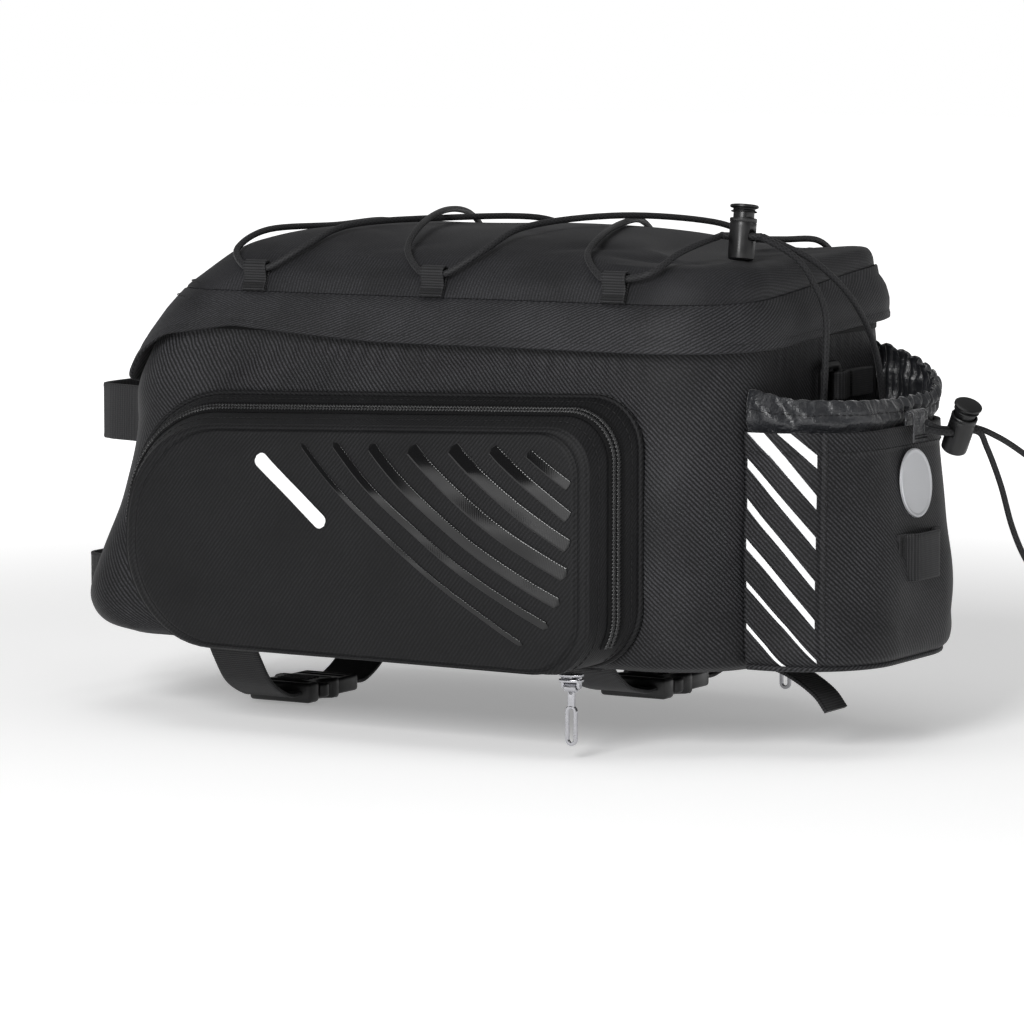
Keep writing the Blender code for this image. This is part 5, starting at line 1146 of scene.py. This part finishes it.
# Tab of the collar. A folded piece of the same nylon, sewn on the rim, where the drawcord comes out.
fold = np.radians(np.linspace(0.0, 180.0, 17))
tab_path = np.concatenate((
    [(204.35, 93.5)], np.stack((202.5 + 1.85 * np.cos(fold), 104.6 + 1.85 * np.sin(fold)), 1),
    [(200.65, 100.4)])) * MM
tab_line = np.stack((tab_path[:, 0], np.zeros(len(tab_path)), tab_path[:, 1]), 1)
ribbon("tab_of_collar", tab_line, (0.0, 1.0, 0.0), 13 * MM, 1.2 * MM, nodes=["collar_tab"],
       finish=silky)
tacked("tab_tack", (205.0 * MM, 0.0, 95.5 * MM), (0.0, 0.0, 1.0), (0.0, 1.0, 0.0), (1.0, 0.0, 0.0), 11 * MM)


# Badge and light loop. A blank round patch of silver film on a plastic disc, and a loop of webbing for
# a lamp's clip, tacked at both ends to the pocket's front panel.
badge_lean = math.pi / 2 - math.atan2(202.57 - 199.96, 29.0)
silver, silver_tree, silver_shader = blank("silver_film", "#c4c5c8", 0.42, Metallic=0.45,
                                           Specular_IOR_Level=0.6)
silver_place = add(silver_tree, "ShaderNodeTexCoord").outputs["Object"]
silver_bead = add(silver_tree, "ShaderNodeTexVoronoi", {}, {"Vector": silver_place, "Scale": 1500.0})
bumped(silver_tree, silver_shader, silver_bead.outputs["Distance"], 0.2, 0.0001)
DISC = (
    (0.5, 0.0), (14.1, 0.0), (14.5, 0.3), (14.5, 1.1), (14.2, 1.45), (13.6, 1.5), (13.2, 1.35),
    (12.9, 1.12), (12.6, 1.1), (0.5, 1.15))
badge = surface("badge_disc", turned_to(lathe(DISC, sides=96), Matrix.Rotation(badge_lean, 4, "Y"),
                                        np.array((201.9, 0.0, 76.0)) * MM), ends=(True, True), sharp=35.0)
dress(badge, silver, nodes=["round_badge"])
loop_base = 202.9 + 1.2
LAMP_LOOP = ((loop_base, -20.0), (loop_base, -14.4), (loop_base + 3.8, -11.0), (loop_base + 4.5, -6.0))
lamp_line = np.array(LAMP_LOOP + tuple((x, -y) for x, y in LAMP_LOOP[::-1]))
lamp_line = through(lamp_line, 8) * MM
lamp_line = np.column_stack((np.maximum(lamp_line[:, 0], loop_base * MM), lamp_line[:, 1],
                             np.full(len(lamp_line), 46 * MM)))
ribbon("lamp_loop", lamp_line, (0.0, 0.0, 1.0), 20 * MM, 1.8 * MM, nodes=["light_loop"])
for label, y in (("left", -17.5), ("right", 17.5)):
    tacked("lamp_tack_" + label, (loop_base * MM + 0.85 * MM, y * MM, 46 * MM), (0.0, 1.0, 0.0),
           (0.0, 0.0, 1.0), (1.0, 0.0, 0.0), 17 * MM)


# Ring. A moulded ring for a shoulder strap, on a webbing tab sewn to the rear wall. It swings on the tab.
ring_points = rounded(0.0, 0.0, 14.4, 18.4, 4.0, 10) * MM
ring_line = np.column_stack((np.full(len(ring_points), 160.7 * MM), ring_points[:, 0] + 3.5 * MM,
                             ring_points[:, 1] + 114.5 * MM))
ring_line = even(ring_line, 0.8 * MM, closed=True)
ring_side, ring_up = frames(ring_line, (1.0, 0.0, 0.0), closed=True)
turn = np.linspace(0.0, 2 * math.pi, 14, endpoint=False)
ring_section = np.stack((np.sign(np.cos(turn)) * np.abs(np.cos(turn)) ** 0.8,
                         np.sign(np.sin(turn)) * np.abs(np.sin(turn)) ** 0.8), 1)
ring_piece = surface("ring_moulding", carried(ring_line, ring_side, ring_up, ring_section * 1.8 * MM),
                     path=True)
dress(ring_piece, moulded, body="ring", nodes=["strap_ring"])
eye, bar_x, bar_y = 3.0, 160.7, 10.7
wrap = np.linspace(0.0, math.pi, 21)
tab_layers = np.concatenate((
    [(bar_x - eye, bar_y + 34.0)], np.stack((bar_x - eye * np.cos(wrap), bar_y - eye * np.sin(wrap)), 1),
    [(bar_x - eye + 3.2, bar_y + 8.0), (bar_x - eye + 2.1, bar_y + 12.0),
     (bar_x - eye + 2.1, bar_y + 34.0)])) * MM
tab_layers = np.column_stack((tab_layers, np.full(len(tab_layers), 114.5 * MM)))
ribbon("ring_webbing", tab_layers, (0.0, 0.0, 1.0), 12 * MM, 1.8 * MM, nodes=["ring_tab"])
tacked("ring_tack", ((bar_x - eye + 3.1) * MM, (bar_y + 12.5) * MM, 114.5 * MM), (0.0, 1.0, 0.0),
       (0.0, 0.0, 1.0), (1.0, 0.0, 0.0), 10 * MM)


# Handle and lower loop. Two straps sewn to the front wall at both ends and bowed forwards.
def bowed(name, level, width, half_span, reach, wall, node):
    """Strap from the front wall's left part to its right part, bowed forwards between them."""
    shares = ((-1.0, 0.00), (-0.93, 0.22), (-0.84, 0.78), (-0.68, 0.98), (0.0, 1.0))
    half = [(wall - reach * out, half_span * along, level) for along, out in shares]
    line = through(np.array(half + [(x, -y, z) for x, y, z in half[-2::-1]]), 10) * MM
    ribbon(name, line, (0.0, 0.0, 1.0), width * MM, 1.8 * MM, nodes=[node])
    for label, way in (("left", -1.0), ("right", 1.0)):
        spot = np.array((wall - 1.0, way * (half_span - 2.2), level)) * MM
        tacked("%s_tack_%s" % (name, label), spot, (0.0, 1.0, 0.0), (0.0, 0.0, 1.0), (-1.0, 0.0, 0.0),
               (width - 3) * MM)


def front_wall(level, width):
    """X of the middle of a strap that lies on the raked front wall."""
    levels = np.linspace(level - width / 2, level + width / 2, 13) / 152.0
    return -float(np.interp(levels, tub_rows[:, 0], tub_rows[:, 1]).max()) * 170.4 - 0.3 - 0.9


bowed("front_handle", 94.0, 25.0, 57.0, 30.0, front_wall(94.0, 25.0), "carry_handle")
bowed("front_low_loop", 20.0, 20.0, 55.0, 14.0, front_wall(20.0, 20.0), "lower_loop")


# Rack straps. Two straps sewn below the base, each closed round the rack by a side-release buckle, and
# a short free strap below the rear end.
STRAP_LINE = ((-0.84, 0.0), (-0.74, 0.0), (-0.67, 0.30), (-0.55, 0.72), (-0.38, 0.96), (-0.27, 0.97))
SOCKET = (
    (0.0, -22.6), (14.4, -22.6), (15.6, -21.9), (16.0, -20.4), (16.0, -15.5), (15.2, -13.4), (13.0, -11.6),
    (12.2, -9.6), (12.0, -7.0), (12.5, -4.6), (14.2, -3.0), (15.6, -2.0), (16.0, -0.6), (16.0, 2.2),
    (15.2, 3.4), (0.0, 3.4))
ARM = (
    (11.4, -10.2), (13.2, -11.0), (15.0, -10.4), (15.9, -8.6), (15.9, -6.0), (15.0, -3.9), (13.4, -3.2),
    (11.6, -4.0))
PRONG = (
    (0.0, 3.8), (12.8, 3.8), (14.0, 4.6), (14.4, 6.0), (14.4, 19.8), (13.8, 21.6), (12.4, 22.6),
    (0.0, 22.6))


def both_ways(half):
    """Outline from its half with X above 0."""
    half = np.array(half, float)
    return np.concatenate((half, half[-2:0:-1] * (-1.0, 1.0)))


def buckle(label, place_x, level):
    """Side-release buckle: a socket with its two side windows, and the prong with its press tabs."""
    def moved(grid):
        return grid + np.array((place_x, 0.0, level)) * MM
    socket = surface(label + "_socket_shell", moved(plate(both_ways(SOCKET), -4.5, 4.5, 1.6)),
                     ends=(True, True), sharp=35.0)
    cut(socket, moved(plate(rounded(0.0, -18.2, 26.0, 3.2, 1.2), -9.0, 9.0, 0.1)))
    ribs = [surface("rib", moved(plate(rounded(0.0, y, 17.0, 1.3, 0.6), -4.9, 4.9, 0.5)), ends=(True, True))
            for y in (-10.5, -7.8, -5.1, -2.4)]
    frame_bar = surface("bar", moved(plate(rounded(0.0, 0.9, 26.0, 1.0, 0.4), -4.8, 4.8, 0.4)),
                        ends=(True, True))
    dress(joined(label + "_socket", [socket, frame_bar] + ribs), moulded,
          nodes=[label + "_buckle_socket"])
    prong = surface(label + "_prong_shell", moved(plate(both_ways(PRONG), -3.6, 3.6, 1.3)),
                    ends=(True, True), sharp=35.0)
    cut(prong, moved(plate(rounded(0.0, 18.4, 23.5, 2.6, 1.0), -9.0, 9.0, 0.1)))
    cut(prong, moved(plate(rounded(0.0, 12.6, 23.5, 3.2, 1.0), -9.0, 9.0, 0.1)))
    arms = [surface("arm", moved(plate(np.array(ARM) * (way, 1.0), -3.2, 3.2, 1.2)), ends=(True, True))
            for way in (-1, 1)]
    dress(joined(label + "_prong", [prong] + arms), moulded, nodes=[label + "_buckle_prong"])


for label, place_x, sag in (("front", -99.5, 30.0), ("middle", 80.0, 15.0)):
    for side, way in (("left", 1.0), ("right", -1.0)):
        strap = np.array([(place_x, way * along * 85.0, -1.5 - drop * sag) for along, drop in STRAP_LINE])
        strap = through(strap, 8)
        strap[:, 2] = np.minimum(strap[:, 2], -1.5)
        ribbon("%s_rack_strap_%s" % (label, side), strap * MM, (1.0, 0.0, 0.0), 25 * MM, 1.8 * MM,
               nodes=["%s_strap_%s" % (label, side)])
        tacked("%s_strap_tack_%s" % (label, side), np.array((place_x, way * -67.0, -2.35)) * MM,
               (0.0, 1.0, 0.0), (1.0, 0.0, 0.0), (0.0, 0.0, -1.0), 22 * MM)
    buckle(label, place_x, -1.5 - 0.97 * sag)
rear_line = np.array([(along * 156.5, -20.0, -1.5 - drop * 22.0) for along, drop in (
    (0.900, 0.0), (0.970, 0.05), (1.030, 0.22), (1.090, 0.50), (1.125, 0.80))])
rear_line = through(rear_line, 8)
rear_line[:, 2] = np.minimum(rear_line[:, 2], -1.5)
ribbon("rear_free_strap", rear_line * MM, (0.0, 1.0, 0.0), 20 * MM, 1.8 * MM, nodes=["rear_strap"])


# Sliders and pulls of the side zips. Nickelled zinc castings: the slider has two plates round a wedge
# and a bar, and the long slotted pull swings on the bar.
bright, bright_tree, bright_shader = blank("nickelled_zinc", "#b9b9bd", 0.2, Metallic=1.0)
bright_place = add(bright_tree, "ShaderNodeTexCoord").outputs["Object"]
bright_wear = add(bright_tree, "ShaderNodeTexNoise", {},
                  {"Vector": bright_place, "Scale": 400.0, "Detail": 5.0})
bright_tree.links.new(add(bright_tree, "ShaderNodeMapRange", {}, {
    0: bright_wear.outputs["Fac"], 1: 0.35, 2: 0.7, 3: 0.12, 4: 0.34}).outputs[0],
    bright_shader.inputs["Roughness"])
SHIELD = (
    (-5.0, 0.0), (-4.8, -2.4), (-4.0, -3.6), (-2.6, -4.0), (0.0, -3.7), (2.6, -3.1), (4.4, -2.5),
    (5.0, -1.6), (5.0, 0.0))
shield = np.array(SHIELD + tuple((x, -y) for x, y in SHIELD[-2:0:-1]))
bar_level = -0.3 - 3.5 - 2.0 - 0.3
link_section = np.array(((-0.5, -0.8), (0.5, -0.8), (0.8, -0.5), (0.8, 0.5), (0.5, 0.8), (-0.5, 0.8),
                         (-0.8, 0.5), (-0.8, -0.5)))
link_line = even(np.column_stack((rounded(0.0, bar_level - 16.0, 3.9, 15.4, 1.9, 10),
                                  np.zeros(44)))[:, [0, 2, 1]] * MM,
                 0.5 * MM, closed=True)
link_side, link_up = frames(link_line, (0.0, 1.0, 0.0), closed=True)
link = carried(link_line, link_up, link_side, link_section * MM)
for side, way in (("left", -1.0), ("right", 1.0)):
    hold = np.array((92.5, way * 97.8, 0.0)) * MM
    parts = [surface("plate", plate(shield, low, high, 0.4) + hold, ends=(True, True), sharp=35.0)
             for low, high in ((-1.5, -0.3), (-3.8, -2.5))]
    parts.append(surface("wedge", plate(rounded(-1.5, 0.0, 5.0, 2.4, 1.0), -2.8, -1.2, 0.1) + hold,
                         ends=(True, True)))
    for end in (-1.0, 1.0):
        lug = plate(rounded(0.0, bar_level + 2.1, 3.0, 5.4, 1.2), end * 3.65 - 0.6, end * 3.65 + 0.6, 0.3)
        parts.append(surface("lug", lug[..., [2, 0, 1]] + hold, ends=(True, True), sharp=35.0))
    rod = np.stack((np.linspace(-3.9, 3.9, 9), np.zeros(9), np.full(9, bar_level)), 1) * MM + hold
    parts.append(surface("rod", round_cord(rod, 1.6 * MM, 16), ends=(True, True)))
    dress(joined("slider_" + side, parts), bright, nodes=["side_slider_" + side])
    eye_profile = np.array(((-2.75, 1.1), (-2.75, 1.75), (-2.5, 2.0), (2.5, 2.0), (2.75, 1.75),
                            (2.75, 1.1))) * MM
    angle = np.linspace(0.0, 2 * math.pi, 32, endpoint=False)
    eye_grid = np.stack((np.repeat(eye_profile[None, :, 0], 32, 0),
                         eye_profile[None, :, 1] * np.cos(angle)[:, None],
                         eye_profile[None, :, 1] * np.sin(angle)[:, None] + bar_level * MM), 2) + hold
    pull_parts = [surface("eye", eye_grid, path=True, sharp=35.0)]
    shank = plate(rounded(0.0, bar_level - 4.9, 3.0, 7.0, 0.6), -0.8, 0.8, 0.3)[..., [0, 2, 1]] + hold
    pull_parts.append(surface("shank", shank, ends=(True, True), sharp=35.0))
    pull_parts.append(surface("link", link + hold, path=True, sharp=35.0))
    dress(joined("pull_" + side, pull_parts), bright, body=side + "_pull",
          nodes=["side_pull_" + side])
